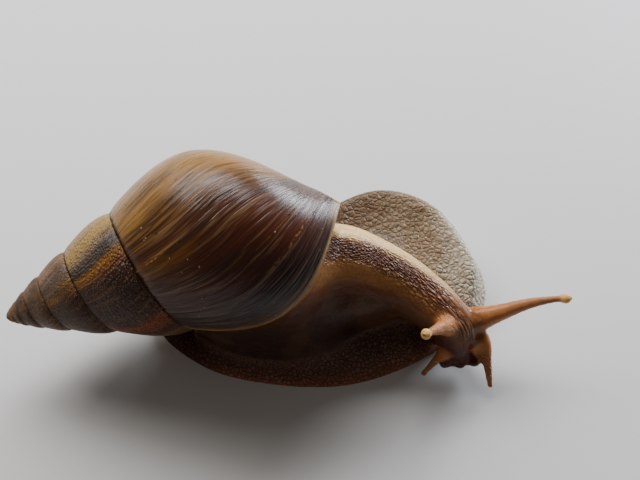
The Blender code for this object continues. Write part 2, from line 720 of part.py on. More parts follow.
def neck_zone(grow):
    """Room above the foot that holds the trunk and the neck, out to the valley on the left."""
    path = smooth_path([(x, y) for x, y, *_ in NECK[:6]], 3)
    plan = [(x * MM, (y + VALLEY_REACH) * MM + grow) for x, y in path]
    plan = [(-FAR, plan[0][1])] + plan + [(FAR, plan[-1][1]), (FAR, -FAR), (-FAR, -FAR)]
    return loft("neck_zone", [[(x, y, TRUNK_FLOOR - grow) for x, y in plan],
                              [(x, y, FAR) for x, y in plan]])


def slab(x):
    return box("slab", (x - HALF_GAP, -FAR, -FAR / 10), (x + HALF_GAP, FAR, FAR))


def part_body(body):
    """Parts the body into foot, trunk, neck and head."""
    head = copy_of(body, "head")
    cut(head, head_zone(-HALF_GAP), "INTERSECT")
    cut(body, head_zone(HALF_GAP))
    upper = copy_of(body, "upper")
    cut(upper, neck_zone(-HALF_GAP), "INTERSECT")
    cut(body, neck_zone(HALF_GAP))
    for x in FOOT_CUTS:
        cut(body, slab(x))
    for x in (TRUNK_FRONT, NECK_MIDDLE):
        cut(upper, slab(x))
    return (largest_parts(head, ("head",))
            + largest_parts(body, ("foot_tail", "foot_middle", "foot_front"))
            + largest_parts(upper, ("trunk", "neck_rear", "neck_front")))


def settle(items):
    """Triangulates the pieces, puts the middle of the whole over the origin, and shades them."""
    holder = bpy.data.objects.new("snail", None)
    bpy.context.collection.objects.link(holder)
    corners = np.array([v.co for item in items for v in item.data.vertices])
    middle = (corners.min(axis=0) + corners.max(axis=0)) / 2
    for item in items:
        own = middle_of(item)
        work = bmesh.new()
        work.from_mesh(item.data)
        bmesh.ops.triangulate(work, faces=work.faces)
        bmesh.ops.translate(work, verts=work.verts, vec=-own)
        work.to_mesh(item.data)
        work.free()
        item.data.shade_smooth()
        item.data.set_sharp_from_angle(angle=math.radians(SHARP_ANGLE))
        item.parent = holder
        item.location = own - Vector((middle[0], middle[1], 0))


def paint(item):
    colour, roughness = next(look for name, look in LOOKS.items() if item.name.startswith(name))
    material = bpy.data.materials.new(item.name)
    material.use_nodes = True
    shader = material.node_tree.nodes["Principled BSDF"]
    shader.inputs["Base Color"].default_value = (*colour, 1)
    shader.inputs["Roughness"].default_value = roughness
    shader.inputs["Metallic"].default_value = 0.0
    item.data.materials.clear()
    item.data.materials.append(material)


def main():
    for item in list(bpy.data.objects):
        remove(item)
    shell = build_shell()
    flesh = build_flesh()
    for name in UPPERS:
        cut(flesh, build_ball("eye_room", eye_place(name), EYE_RADIUS + GAP))
    body, feelers = part_tentacles(flesh)
    eyes = [build_ball(name.replace("tentacle_upper", "eye"), eye_place(name), EYE_RADIUS)
            for name in UPPERS]
    pieces = shell + [build_mantle("mantle_collar")] + part_body(body) + feelers + eyes
    settle(pieces)
    for piece in pieces:
        paint(piece)


main()
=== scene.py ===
"""Giant African land snail: shell, skin, eyes and a studio, laid out as a Blender add-on.

A point of the shell is named by turn, in whorls from the apex, and across: 0 on the suture, 1 on
the next suture and 2 at the base. Lengths are metres, +Z is up and the snail crawls along +X.
"""
import math

import bmesh
import bpy
import numpy as np
from bpy.props import FloatProperty, FloatVectorProperty, IntProperty
from mathutils import Matrix, Vector


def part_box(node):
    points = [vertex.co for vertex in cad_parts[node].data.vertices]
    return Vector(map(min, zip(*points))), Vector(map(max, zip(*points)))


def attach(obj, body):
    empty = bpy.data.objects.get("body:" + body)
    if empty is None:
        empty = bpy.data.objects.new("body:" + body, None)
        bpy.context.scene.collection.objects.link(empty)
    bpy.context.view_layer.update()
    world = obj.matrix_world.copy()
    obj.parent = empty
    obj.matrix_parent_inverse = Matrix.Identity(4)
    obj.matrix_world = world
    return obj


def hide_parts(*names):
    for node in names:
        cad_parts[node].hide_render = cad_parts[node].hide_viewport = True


bl_info = {
    "name": "Giant African Land Snail",
    "version": (1, 0, 0),
    "blender": (4, 5, 0),
    "location": "View3D > Sidebar > Snail",
    "description": "Builds the snail's shell, its skin, its eyes and a plain studio",
    "category": "Add Mesh",
}

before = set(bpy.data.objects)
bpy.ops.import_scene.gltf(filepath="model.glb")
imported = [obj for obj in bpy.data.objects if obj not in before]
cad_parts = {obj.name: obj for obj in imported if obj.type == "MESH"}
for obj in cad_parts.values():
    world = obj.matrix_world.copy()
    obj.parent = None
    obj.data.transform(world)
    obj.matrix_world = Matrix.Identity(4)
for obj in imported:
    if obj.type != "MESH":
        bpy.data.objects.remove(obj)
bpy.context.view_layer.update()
BODY = "root"
MM = 0.001

# Shell law. Heights and radii are fractions of the shell's length.
SHELL_LENGTH = 115 * MM
WHORLS = 6.6
WHORL_RATIO = 1.694
SUTURE_HEIGHT, SUTURE_RADIUS, RADIUS_POWER = 0.4744, 0.2074, 0.757
BASE_RADIUS, BASE_RADIUS_POWER, BASE_HEIGHT_POWER = 0.0773, 0.686, 0.774
WALL_ANGLES = (0.536, -0.180, -1.163)
WALL_FULLNESS = (0.398, 0.256, 0.391, 0.194)
LIP_LAG = (-0.241, -0.625)
TURN = 1 + (LIP_LAG[0] / 2 + LIP_LAG[1] / 4) / (2 * math.pi)
APEX = (-91.4 * MM, -21.2 * MM, 22.9 * MM)
SHELL_HEADING, SHELL_SLOPE, SHELL_ROLL = 16.5, 11.85, -10.8
LIP_WALL, LIP_DEPTH = 1.0 * MM, 0.06
MOUTH_OUTER, MOUTH_INNER = (0.16, 1.88), (1.97, 1.08)
HUB_RADIUS, HUB_BACK = 0.010, 0.030

# Flesh, in millimetres, before it is moved to the middle of the whole snail.
FOOT_EDGE = (
    (-46, -12, 3), (-28, -28, 5), (-4, -34.2, 7), (20, -34.4, 8), (41, -27.5, 7), (57, -17, 5),
    (69.5, -5, 8), (70.5, 13, 14), (57, 36, 17), (36, 45, 17.5), (15, 38, 16.5), (-10, 22, 10),
    (-33, 4, 5),
)
FOOT_FRONT = 5.5
FOOT_SPINE = ((-33, -12, 8), (-5, -8, 17), (19, -3, 20), (36, -6, 19), (47, -12, 15), (54, -15, 9))
FRINGE_HEIGHT, FRINGE_WIDTH, EDGE_WIDTH, VALLEY, SOLE_DEPTH = 2.6, 3.5, 7.0, 0.2, 2.0
TRUNK_FOOT, TRUNK_FLARE = (1, -8, 5, 36, 23), 0.5
NECK = (
    (6, -6, 36, 13, 10), (18, -4, 33, 12, 11), (27, -4, 28, 11, 10.5), (36.5, -7, 24.5, 10, 10),
    (46, -13, 20.5, 9, 9.5), (53, -18.5, 17, 8, 9), (56.3, -21.5, 13, 7.5, 7.5),
    (57.8, -23.8, 8.8, 7, 5.5), (58.6, -26.3, 5.6, 6, 3.2),
)
THROAT = ((8, -9, 22, 17, 16), (20, -9, 20, 14, 13), (28, -9.5, 17.5, 10.5, 9.5))
LIPS = ((53.2, -28.3, 5.6, 2.3), (58.4, -28.6, 5.2, 2.0), (63.2, -27.8, 5.4, 2.3))
TENTACLES = {
    "tentacle_upper_left": (
        (57, -19.5, 16.5, 5.0), (64, -18.6, 18.2, 4.2), (70, -17.8, 20.5, 3.0), (78.6, -17, 25, 1.95),
        (86, -17.2, 28.2, 1.35), (90, -17.5, 29.3, 1.25)),
    "tentacle_upper_right": (
        (54, -20.5, 18.5, 4.8), (52, -24.5, 23.5, 3.5), (49.6, -27.4, 28, 2.5),
        (46.6, -31, 33, 1.75), (44, -34, 37, 1.3), (42.6, -35.6, 39, 1.25)),
    "tentacle_lower_left": (
        (61.5, -21.5, 14, 4.2), (65.2, -24.2, 11.6, 3.2), (66.8, -29, 8.2, 1.8),
        (67.9, -35.9, 3.6, 1.1)),
    "tentacle_lower_right": (
        (54, -24.5, 11.5, 2.8), (51.4, -27.8, 10.2, 1.9), (48.5, -30, 7.5, 1.3),
        (45.8, -32.2, 5, 1.0)),
}
UPPERS = ("tentacle_upper_left", "tentacle_upper_right")
KNOB_RADIUS, EYE_RADIUS, TIP_BALL = 1.75 * MM, 0.6 * MM, 1.25 * MM
KNOB_GROWTH = 1.12                # makes up for what smoothing takes off a knob
LENS_FLATNESS = 0.62              # depth of an eye as a share of its width
PATH_STEPS, BODY_SIDES, FEELER_SIDES = 8, 48, 24
FOOT_STEPS, FOOT_RINGS, TRUNK_RINGS, MANTLE_RINGS = 12, 24, 12, 8
LIP_POINTS, INNER_POINTS, HUB_POINTS = 40, 20, 12
TRUNK_REACH, TRUNK_INSET, TRUNK_LIFT = 0.012, 2.2 * MM, 1.0 * MM
MANTLE_BACK, MANTLE_FRONT, MANTLE_TRIM = 0.006, 0.018, 0.02
MANTLE_INSET, MANTLE_LIFT = 0.35 * MM, 0.7 * MM      # off the lip's wall, and off the whorl inside
EYE_SIDES, EYE_RINGS, EYE_BULGE = 32, 16, 0.06
BLANK_VOXEL, SHELL_CLEARANCE = 0.6 * MM, 0.4 * MM    # of the flesh before it is one skin
BLEND_ROUNDS = 240                # rounds of smoothing in the folds of the body
SOLE_CUT, SOLE_SNAP = 0.02 * MM, 0.03 * MM           # where the sole is cut, and pressed flat
SKIN_VOXEL, GRANULE_HEIGHT, FURROW_DEPTH = 0.0006, 0.00036, 0.0003    # metres

# Studio. The camera's place is given before the shift to the middle.
CAMERA_PLACE, CAMERA_SLOPE, VIEW_ANGLE = (0.011, -0.148, 0.2484), 55.0, 44.0
SENSOR_WIDTH, CLIP_START = 36.0, 0.005
LIGHT_AIM = (0.0, 0.0, 0.02)
FLOOR_REACH, FLOOR_DEPTH, FLOOR_DROP = 3, -0.02, -2e-5
WORLD_TINT, FLOOR_GRAIN = (1.0, 0.93, 0.86, 1.0), (0.6, 0.58, 0.56)
LIGHTS = (                        # name, place, size, setting, share of it, colour
    ("window", (-0.07, 0.56, 0.62), (0.6, 0.34), "key", 1.0, (0.97, 0.98, 1.0)),
    ("window_left", (-0.46, 0.38, 0.53), (0.34, 0.26), "key", 0.45, (1.0, 0.98, 0.95)),
    ("window_right", (0.60, 0.66, 0.26), (0.44, 0.26), "key", 1.5, (0.84, 0.92, 1.0)),
    ("fill", (0.1, -0.7, 0.45), (0.8, 0.6), "fill", 1.0, (1.0, 0.90, 0.80)),
)

SHELL_NODES = [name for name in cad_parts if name.startswith("shell")]
EYE_NODES = [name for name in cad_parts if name.startswith("eye")]
FLESH_NODES = [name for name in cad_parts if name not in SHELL_NODES + EYE_NODES]
LARGE_WHORLS = ("shell_body_whorl", "shell_penultimate_whorl")


# ---------------------------------------------------------------- sums that nodes work out

class Field:
    """A number that a node tree works out, written with Python's own operators."""

    def __init__(self, tree, socket):
        self.tree, self.socket = tree, socket

    def math(self, operation, *others):
        node = self.tree.nodes.new("ShaderNodeMath")
        node.operation = operation
        for slot, value in zip(node.inputs, (self, *others)):
            if isinstance(value, Field):
                self.tree.links.new(value.socket, slot)
            else:
                slot.default_value = value
        return Field(self.tree, node.outputs[0])

    def __add__(self, other):
        return self.math("ADD", other)

    def __sub__(self, other):
        return self.math("SUBTRACT", other)

    def __rsub__(self, other):
        return (self * -1.0) + other

    def __mul__(self, other):
        return self.math("MULTIPLY", other)

    def __truediv__(self, other):
        return self.math("DIVIDE", other)

    def __rtruediv__(self, other):
        return (self ** -1.0) * other

    def __pow__(self, other):
        return self.math("POWER", other)

    def __rpow__(self, other):
        return (self * math.log(other)).math("EXPONENT")

    __radd__, __rmul__ = __add__, __mul__


def clip(value, low, high):
    if isinstance(value, Field):
        return value.math("MAXIMUM", low).math("MINIMUM", high)
    return np.clip(value, low, high)


def sine(value):
    return value.math("SINE") if isinstance(value, Field) else np.sin(value)


def cosine(value):
    return value.math("COSINE") if isinstance(value, Field) else np.cos(value)


def smooth_rise(value, low, high):
    """0 below low and 1 above high, with no corner."""
    share = clip((value - low) / (high - low), 0.0, 1.0)
    return share * share * (3.0 - share * 2.0)


def bump_at(value, place, width):
    """1 at place and 0 beyond width on either side."""
    away = clip((value - place).math("ABSOLUTE") / width, 0.0, 1.0)
    return 1.0 - away * away * (3.0 - away * 2.0)


# ---------------------------------------------------------------- the shell's law

def suture(turn):
    size = WHORL_RATIO ** (turn - WHORLS)
    return SUTURE_RADIUS * size ** RADIUS_POWER, SUTURE_HEIGHT * size


def base_end(turn):
    size = WHORL_RATIO ** (turn - WHORLS)
    return BASE_RADIUS * size ** BASE_RADIUS_POWER, size ** BASE_HEIGHT_POWER


def bezier(start, leave, arrive, end, share):
    rest = 1.0 - share
    return (start * rest * rest * rest + 3.0 * leave * share * rest * rest
            + 3.0 * arrive * share * share * rest + end * share * share * share)


def length(a, b):
    return ((a[0] - b[0]) ** 2.0 + (a[1] - b[1]) ** 2.0) ** 0.5


def wall_outline(turn, across):
    """Radius and height of the outer wall, as fractions of the shell's length."""
    top, low, base = suture(turn), suture(turn + TURN), base_end(turn)
    upper, lower = length(low, top), length(base, low)
    whorl, skirt = clip(across, 0.0, 1.0), clip(across - 1.0, 0.0, 1.0)
    full = WALL_FULLNESS
    point = []
    for k, way in enumerate((np.sin, np.cos)):
        at_top, at_low, at_base = (float(way(a)) for a in WALL_ANGLES)
        point.append(bezier(top[k], top[k] + upper * (at_top * full[0]),
                            low[k] - upper * (at_low * full[1]), low[k], whorl)
                     + bezier(low[k], low[k] + lower * (at_low * full[2]),
                              base[k] - lower * (at_base * full[3]), base[k], skirt) - low[k])
    return point


def shell_axes():
    heading, slope, roll = (math.radians(v) for v in (SHELL_HEADING, SHELL_SLOPE, SHELL_ROLL))
    axis = Vector((math.cos(slope) * math.cos(heading), math.cos(slope) * math.sin(heading),
                   math.sin(slope)))
    right = axis.cross(Vector((0, 0, 1))).normalized()
    toward_lip = math.cos(roll) * right + math.sin(roll) * right.cross(axis)
    return np.array([toward_lip, axis.cross(toward_lip), axis]).T


def spin_of(turn, across):
    half = across / 2.0
    return (turn - WHORLS) * (2 * math.pi) + half * LIP_LAG[0] + half * half * LIP_LAG[1]


def on_shell(radius, height, angle):
    """The three coordinates of a point given round the shell's axis, in shell lengths."""
    axes = shell_axes() * SHELL_LENGTH
    a, b = radius * cosine(angle), radius * sine(angle)
    return [a * float(axes[k][0]) + b * float(axes[k][1]) + height * float(axes[k][2])
            + (APEX[k] + MIDDLE[k]) for k in range(3)]


def shell_point(turn, across, inset=0.0):
    turn, across = np.broadcast_arrays(np.asarray(turn, float), np.asarray(across, float))
    radius, height = wall_outline(turn, across)
    ahead, behind = wall_outline(turn, across + 0.01), wall_outline(turn, across - 0.01)
    step = (ahead[0] - behind[0], ahead[1] - behind[1])
    size = np.hypot(*step) * SHELL_LENGTH
    radius, height = radius - inset * step[1] / size, height + inset * step[0] / size
    return np.stack(on_shell(radius, height, spin_of(turn, across)), -1)


# ---------------------------------------------------------------- paths and places of the flesh

def smooth_path(stations, steps):
    """Catmull-Rom curve through rows of numbers, steps samples to a span."""
    rows = np.array(stations, float)
    ends = np.vstack([2 * rows[0] - rows[1], rows, 2 * rows[-1] - rows[-2]])
    path = []
    for k in range(len(rows) - 1):
        a, b, c, d = ends[k:k + 4]
        for share in np.linspace(0, 1, steps, endpoint=False):
            path.append(b + 0.5 * share * (c - a + share * (2 * a - 5 * b + 4 * c - d
                                                            + share * (3 * (b - c) + d - a))))
    return np.array(path + [rows[-1]])


def closed_path(stations, steps):
    rows = list(stations)
    whole = smooth_path(rows[-2:] + rows + rows[:2], steps)
    return whole[2 * steps:(2 + len(rows)) * steps]


def tentacle_path(name):
    return smooth_path([(x, y, z, r, r) for x, y, z, r in TENTACLES[name]], PATH_STEPS) * MM


def eye_place(name):
    path = tentacle_path(name)[:, :3]
    way = path[-1] - path[-4]
    way /= np.linalg.norm(way)
    return path[-1] + way * (KNOB_RADIUS - 0.35 * EYE_RADIUS)


def middle_shift():
    """From the flesh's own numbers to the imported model's place."""
    low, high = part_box("eye_left")
    shift = (np.array(low) + np.array(high)) / 2 - eye_place(UPPERS[0])
    return (float(shift[0]), float(shift[1]), 0.0)


MIDDLE = middle_shift()


# ---------------------------------------------------------------- mesh helpers

class Reshape:
    """Opens a mesh for editing in a with block and writes it back at the end."""

    def __init__(self, mesh):
        self.mesh, self.work = mesh, bmesh.new()
        self.work.from_mesh(mesh)

    def __enter__(self):
        return self.work

    def __exit__(self, *problem):
        self.work.to_mesh(self.mesh)
        self.work.free()


def mesh_object(name, points, faces):
    mesh = bpy.data.meshes.new(name)
    mesh.from_pydata([tuple(p) for p in points], [], faces)
    with Reshape(mesh) as work:
        bmesh.ops.recalc_face_normals(work, faces=work.faces)
    return link(name, mesh)


def link(name, mesh):
    item = bpy.data.objects.new(name, mesh)
    bpy.context.scene.collection.objects.link(item)
    return item


def remove(item):
    bpy.data.objects.remove(item, do_unlink=True)


def plain(item):
    """Turns the object's modifiers into a plain mesh."""
    graph = bpy.context.evaluated_depsgraph_get()
    graph.update()
    mesh = bpy.data.meshes.new_from_object(item.evaluated_get(graph), preserve_all_data_layers=True,
                                           depsgraph=graph)
    item.modifiers.clear()
    item.data = mesh


def loft(name, rings, caps=True):
    count = len(rings[0])
    points = [p for ring in rings for p in ring]
    faces = [tuple(range(count)), tuple(range(len(points) - count, len(points)))] if caps else []
    for row in range(len(rings) - 1):
        for k in range(count):
            a, b = row * count + k, row * count + (k + 1) % count
            faces.append((a, b, b + count, a + count))
    return mesh_object(name, points, faces)


def tube_rings(path, sides):
    """Elliptic rings along rows of centre, half width and half height, with domed ends."""
    centre = path[:, :3]
    way = np.gradient(centre, axis=0)
    way /= np.linalg.norm(way, axis=1, keepdims=True)
    across = np.cross(way, (0, 0, 1))
    across /= np.linalg.norm(across, axis=1, keepdims=True)
    above = np.cross(across, way)
    turn = np.linspace(0, 2 * math.pi, sides, endpoint=False)[:, None]

    def ring(k, push, size):
        middle = centre[k] + way[k] * push * path[k, 4]
        return middle + size * (path[k, 3] * np.cos(turn) * across[k]
                                + path[k, 4] * np.sin(turn) * above[k])

    dome = [math.radians(a) for a in (20, 45, 70, 85)]
    rings = [ring(0, -math.sin(a), math.cos(a)) for a in reversed(dome)]
    rings += [ring(k, 0, 1) for k in range(len(path))]
    return rings + [ring(len(path) - 1, math.sin(a), math.cos(a)) for a in dome]


def ball(name, place, radius, segments=24):
    mesh = bpy.data.meshes.new(name)
    with Reshape(mesh) as work:
        bmesh.ops.create_uvsphere(work, u_segments=segments, v_segments=segments // 2,
                                  radius=radius, matrix=Matrix.Translation(Vector(place)))
    return link(name, mesh)


def join(items, name):
    mesh = bpy.data.meshes.new(name)
    with Reshape(mesh) as work:
        for item in items:
            work.from_mesh(item.data)
            remove(item)
    return link(name, mesh)


def points_of(mesh):
    flat = np.empty(len(mesh.vertices) * 3, dtype=np.float32)
    mesh.vertices.foreach_get("co", flat)
    return flat.reshape(-1, 3).astype(float)


def store(mesh, name, values):
    layer = mesh.attributes.new(name, "FLOAT", "POINT")
    layer.data.foreach_set("value", np.asarray(values, dtype=np.float32))


# ---------------------------------------------------------------- node helpers

class Tree:
    """Adds nodes to a node tree and links them by the names of their sockets."""

    def __init__(self, tree):
        self.tree = tree
        tree.nodes.clear()

    def add(self, kind, inputs=(), **settings):
        node = self.tree.nodes.new(kind)
        for name, value in settings.items():
            setattr(node, name, value)
        for name, value in dict(inputs).items():
            self.feed(node.inputs[name], value)
        return node

    def feed(self, slot, value):
        if isinstance(value, Field):
            value = value.socket
        if isinstance(value, bpy.types.NodeSocket):
            self.tree.links.new(value, slot)
        else:
            slot.default_value = value

    def field(self, socket):
        return Field(self.tree, socket)

    def vector(self, x, y, z):
        node = self.add("ShaderNodeCombineXYZ", {"X": x, "Y": y, "Z": z})
        return node.outputs[0]

    def axes(self, vector):
        """The three parts of a vector."""
        return [self.field(part) for part in
                self.add("ShaderNodeSeparateXYZ", {"Vector": vector}).outputs]

    def position(self):
        """A point's place in a Geometry Nodes tree, and Object coordinates in a material."""
        if self.tree.type == "GEOMETRY":
            return self.add("GeometryNodeInputPosition").outputs[0]
        return self.add("ShaderNodeTexCoord").outputs["Object"]

    def number(self, name):
        """A float attribute of the mesh, in a material."""
        return self.field(self.add("ShaderNodeAttribute", attribute_name=name).outputs["Fac"])

    def noise(self, vector, scale, detail=2.0, rough=0.5):
        node = self.add("ShaderNodeTexNoise", {"Vector": vector, "Scale": scale, "Detail": detail,
                                               "Roughness": rough})
        return self.field(node.outputs[0])

    def cells(self, vector, scale, feature="F1", random=1.0, output="Distance"):
        node = self.add("ShaderNodeTexVoronoi", feature=feature)
        self.feed(node.inputs["Vector"], vector)
        self.feed(node.inputs["Scale"], scale)
        self.feed(node.inputs["Randomness"], random)
        return self.field(node.outputs[output])

    def ramp(self, value, stops):
        node = self.add("ShaderNodeValToRGB", {"Fac": value})
        ramp = node.color_ramp
        while len(ramp.elements) > 1:
            ramp.elements.remove(ramp.elements[-1])
        ramp.elements[0].position = stops[0][0]
        ramp.elements[0].color = (*stops[0][1], 1)
        for place, colour in stops[1:]:
            ramp.elements.new(place).color = (*colour, 1)
        return node.outputs["Color"]

    def blend(self, share, low, high, mode="MIX"):
        node = self.add("ShaderNodeMix", data_type="RGBA", blend_type=mode)
        self.feed(node.inputs[0], share)
        for slot, value in ((node.inputs[6], low), (node.inputs[7], high)):
            self.feed(slot, (*value, 1) if hasattr(value, "__len__") else value)
        return node.outputs[2]

    def coats(self, colour, *layers):
        """Lays colours over one another, each given as its share and its colour."""
        for share, tint in layers:
            colour = self.blend(share, colour, tint)
        return colour

    def enriched(self, colour, richness):
        node = self.add("ShaderNodeHueSaturation", {"Color": colour, "Saturation": richness})
        return node.outputs[0]


def new_material(name):
    material = bpy.data.materials.new(name)
    material.use_nodes = True
    return material, Tree(material.node_tree)


def finish_material(tree, colour, roughness, bumps, **sockets):
    """Shader with its height fields, each given as height and depth in metres."""
    normal = None
    for height, depth in bumps:
        node = tree.add("ShaderNodeBump", {"Height": height, "Distance": depth, "Strength": 1.0})
        if normal:
            tree.feed(node.inputs["Normal"], normal)
        normal = node.outputs[0]
    shader = tree.add("ShaderNodeBsdfPrincipled", {"Base Color": colour, "Roughness": roughness})
    if normal:
        tree.feed(shader.inputs["Normal"], normal)
    for name, value in sockets.items():
        shader.inputs[name.replace("_", " ")].default_value = value
    output = tree.add("ShaderNodeOutputMaterial")
    tree.feed(output.inputs["Surface"], shader.outputs[0])


def group_tree(name, inputs):
    """Geometry Nodes tree with named inputs, each given as name, socket type and default."""
    tree = bpy.data.node_groups.new(name, "GeometryNodeTree")
    face = tree.interface
    face.new_socket("Geometry", in_out="INPUT", socket_type="NodeSocketGeometry")
    face.new_socket("Geometry", in_out="OUTPUT", socket_type="NodeSocketGeometry")
    for label, kind, default in inputs:
        socket = face.new_socket(label, in_out="INPUT", socket_type=kind)
        if default is not None:
            socket.default_value = default
    maker = Tree(tree)
    return tree, maker, maker.add("NodeGroupInput"), maker.add("NodeGroupOutput")


def run_tree(item, tree, values):
    """Runs a Geometry Nodes tree on an object and keeps the result as a plain mesh."""
    modifier = item.modifiers.new(tree.name, "NODES")
    modifier.node_group = tree
    slots = {socket.name: socket.identifier for socket in tree.interface.items_tree
             if socket.item_type == "SOCKET" and socket.in_out == "INPUT"}
    for name, value in values.items():
        modifier[slots[name]] = value
    plain(item)
    bpy.data.node_groups.remove(tree)


def close_outputs(maker, geometry, source, target):
    """Ends a tree in Realize Instances and Set Material."""
    real = maker.add("GeometryNodeRealizeInstances", {"Geometry": geometry})
    cover = maker.add("GeometryNodeSetMaterial", {"Geometry": real.outputs[0],
                                                  "Material": source.outputs["Material"]})
    maker.feed(target.inputs[0], cover.outputs[0])


# ---------------------------------------------------------------- the shell

SHELL_ROWS, SHELL_COLUMNS, RIDGE_HEIGHT = 1000, 58, 0.00012
SHELL_WELD = 4e-6                 # points closer than this become one
FIRST_TURN = -1.0                 # where the coil leaves the rounded tip
TIP_RADIUS, TIP_HEIGHT = 1.3 * MM, 1.9 * MM
ROW_POWER = 0.65                  # how rows crowd toward the tip
OUTER_SHARE = 0.86                # columns on the outer wall; the rest close the tube inside
LIP_ROWS = 10
SUTURE_DEPTH = 0.7 * MM           # how deep the body whorl starts below the one before
MILLIMETRES_A_TURN = 180 * MM     # round the body whorl
COLUMELLA_TURNS, COLUMELLA_END = 1.02, 6.56
COLUMELLA_RETREAT = 0.075         # how far its front end draws back at the axis, of the shell's length
COLUMELLA_RISE, COLUMELLA_WALL = 0.25, 1.2 * MM
COLUMELLA_ROWS, COLUMELLA_COLUMNS = 120, 25

SPIRE_BANDS = (
    (4.20, (0.20, 0.115, 0.06)), (4.32, (0.26, 0.145, 0.075)), (4.37, (0.10, 0.07, 0.05)),
    (4.43, (0.25, 0.12, 0.035)), (4.48, (0.085, 0.035, 0.02)), (4.62, (0.075, 0.03, 0.016)),
    (4.80, (0.20, 0.10, 0.04)), (4.95, (0.09, 0.038, 0.02)), (5.10, (0.20, 0.11, 0.055)),
    (5.24, (0.38, 0.235, 0.13)), (5.31, (0.42, 0.26, 0.085)), (5.345, (0.24, 0.16, 0.09)),
    (5.362, (0.050, 0.034, 0.026)), (5.383, (0.045, 0.028, 0.022)), (5.398, (0.31, 0.135, 0.028)),
    (5.416, (0.15, 0.052, 0.016)), (5.43, (0.062, 0.022, 0.012)), (5.55, (0.060, 0.022, 0.012)),
    (5.583, (0.20, 0.044, 0.009)), (5.60, (0.15, 0.036, 0.009)), (5.63, (0.035, 0.012, 0.007)),
)
BODY_BANDS = (
    (5.60, (0.05, 0.022, 0.013)), (5.75, (0.22, 0.12, 0.045)), (5.85, (0.06, 0.028, 0.015)),
    (5.97, (0.23, 0.13, 0.05)), (6.08, (0.13, 0.09, 0.05)), (6.20, (0.17, 0.115, 0.055)),
    (6.25, (0.34, 0.185, 0.066)), (6.33, (0.28, 0.145, 0.048)), (6.375, (0.18, 0.086, 0.031)),
    (6.403, (0.070, 0.028, 0.015)), (6.425, (0.080, 0.029, 0.015)), (6.455, (0.074, 0.023, 0.013)),
    (6.50, (0.068, 0.019, 0.011)), (6.535, (0.038, 0.012, 0.009)), (6.565, (0.014, 0.006, 0.008)),
    (6.585, (0.05, 0.021, 0.012)), (6.597, (0.15, 0.07, 0.025)), (6.60, (0.34, 0.19, 0.075)),
)


def keep(maker, geometry, **fields):
    """Stores fields as attributes of the points."""
    for name, value in fields.items():
        kept = maker.add("GeometryNodeStoreNamedAttribute", {"Geometry": geometry, "Name": name},
                         data_type="FLOAT", domain="POINT")
        maker.feed(kept.inputs["Value"], value)
        geometry = kept.outputs[0]
    return geometry


def columella(maker):
    """Twisted blade that closes the base, from the wall's end to the axis and back under itself."""
    grid = maker.add("GeometryNodeMeshGrid", {"Vertices X": COLUMELLA_ROWS,
                                              "Vertices Y": COLUMELLA_COLUMNS})
    along, round_share = (part + 0.5 for part in maker.axes(maker.position())[:2])
    turn = along * COLUMELLA_TURNS + (COLUMELLA_END - COLUMELLA_TURNS)
    share = 1.0 - (round_share * 2.0 - 1.0).math("ABSOLUTE")
    under = round_share.math("GREATER_THAN", 0.5)
    ends = clip((0.5 - (along - 0.5).math("ABSOLUTE")) * 30.0, 0.0, 1.0)
    rim = base_end(turn)
    height = rim[1] + rim[0] * COLUMELLA_RISE * (share - share * share * 0.5)
    height = height - smooth_rise(along, 0.66, 0.98) * share * COLUMELLA_RETREAT
    height = height - under * ends * share * (1.0 - share) * (4.0 * COLUMELLA_WALL / SHELL_LENGTH)
    geometry = keep(maker, grid.outputs["Mesh"], turn=turn, across=share + 2.0, lip=along * 0.0)
    where = maker.vector(*on_shell(rim[0] * (1.0 - share), height, spin_of(turn, 2.0)))
    return maker.add("GeometryNodeSetPosition", {"Geometry": geometry, "Position": where}).outputs[0]


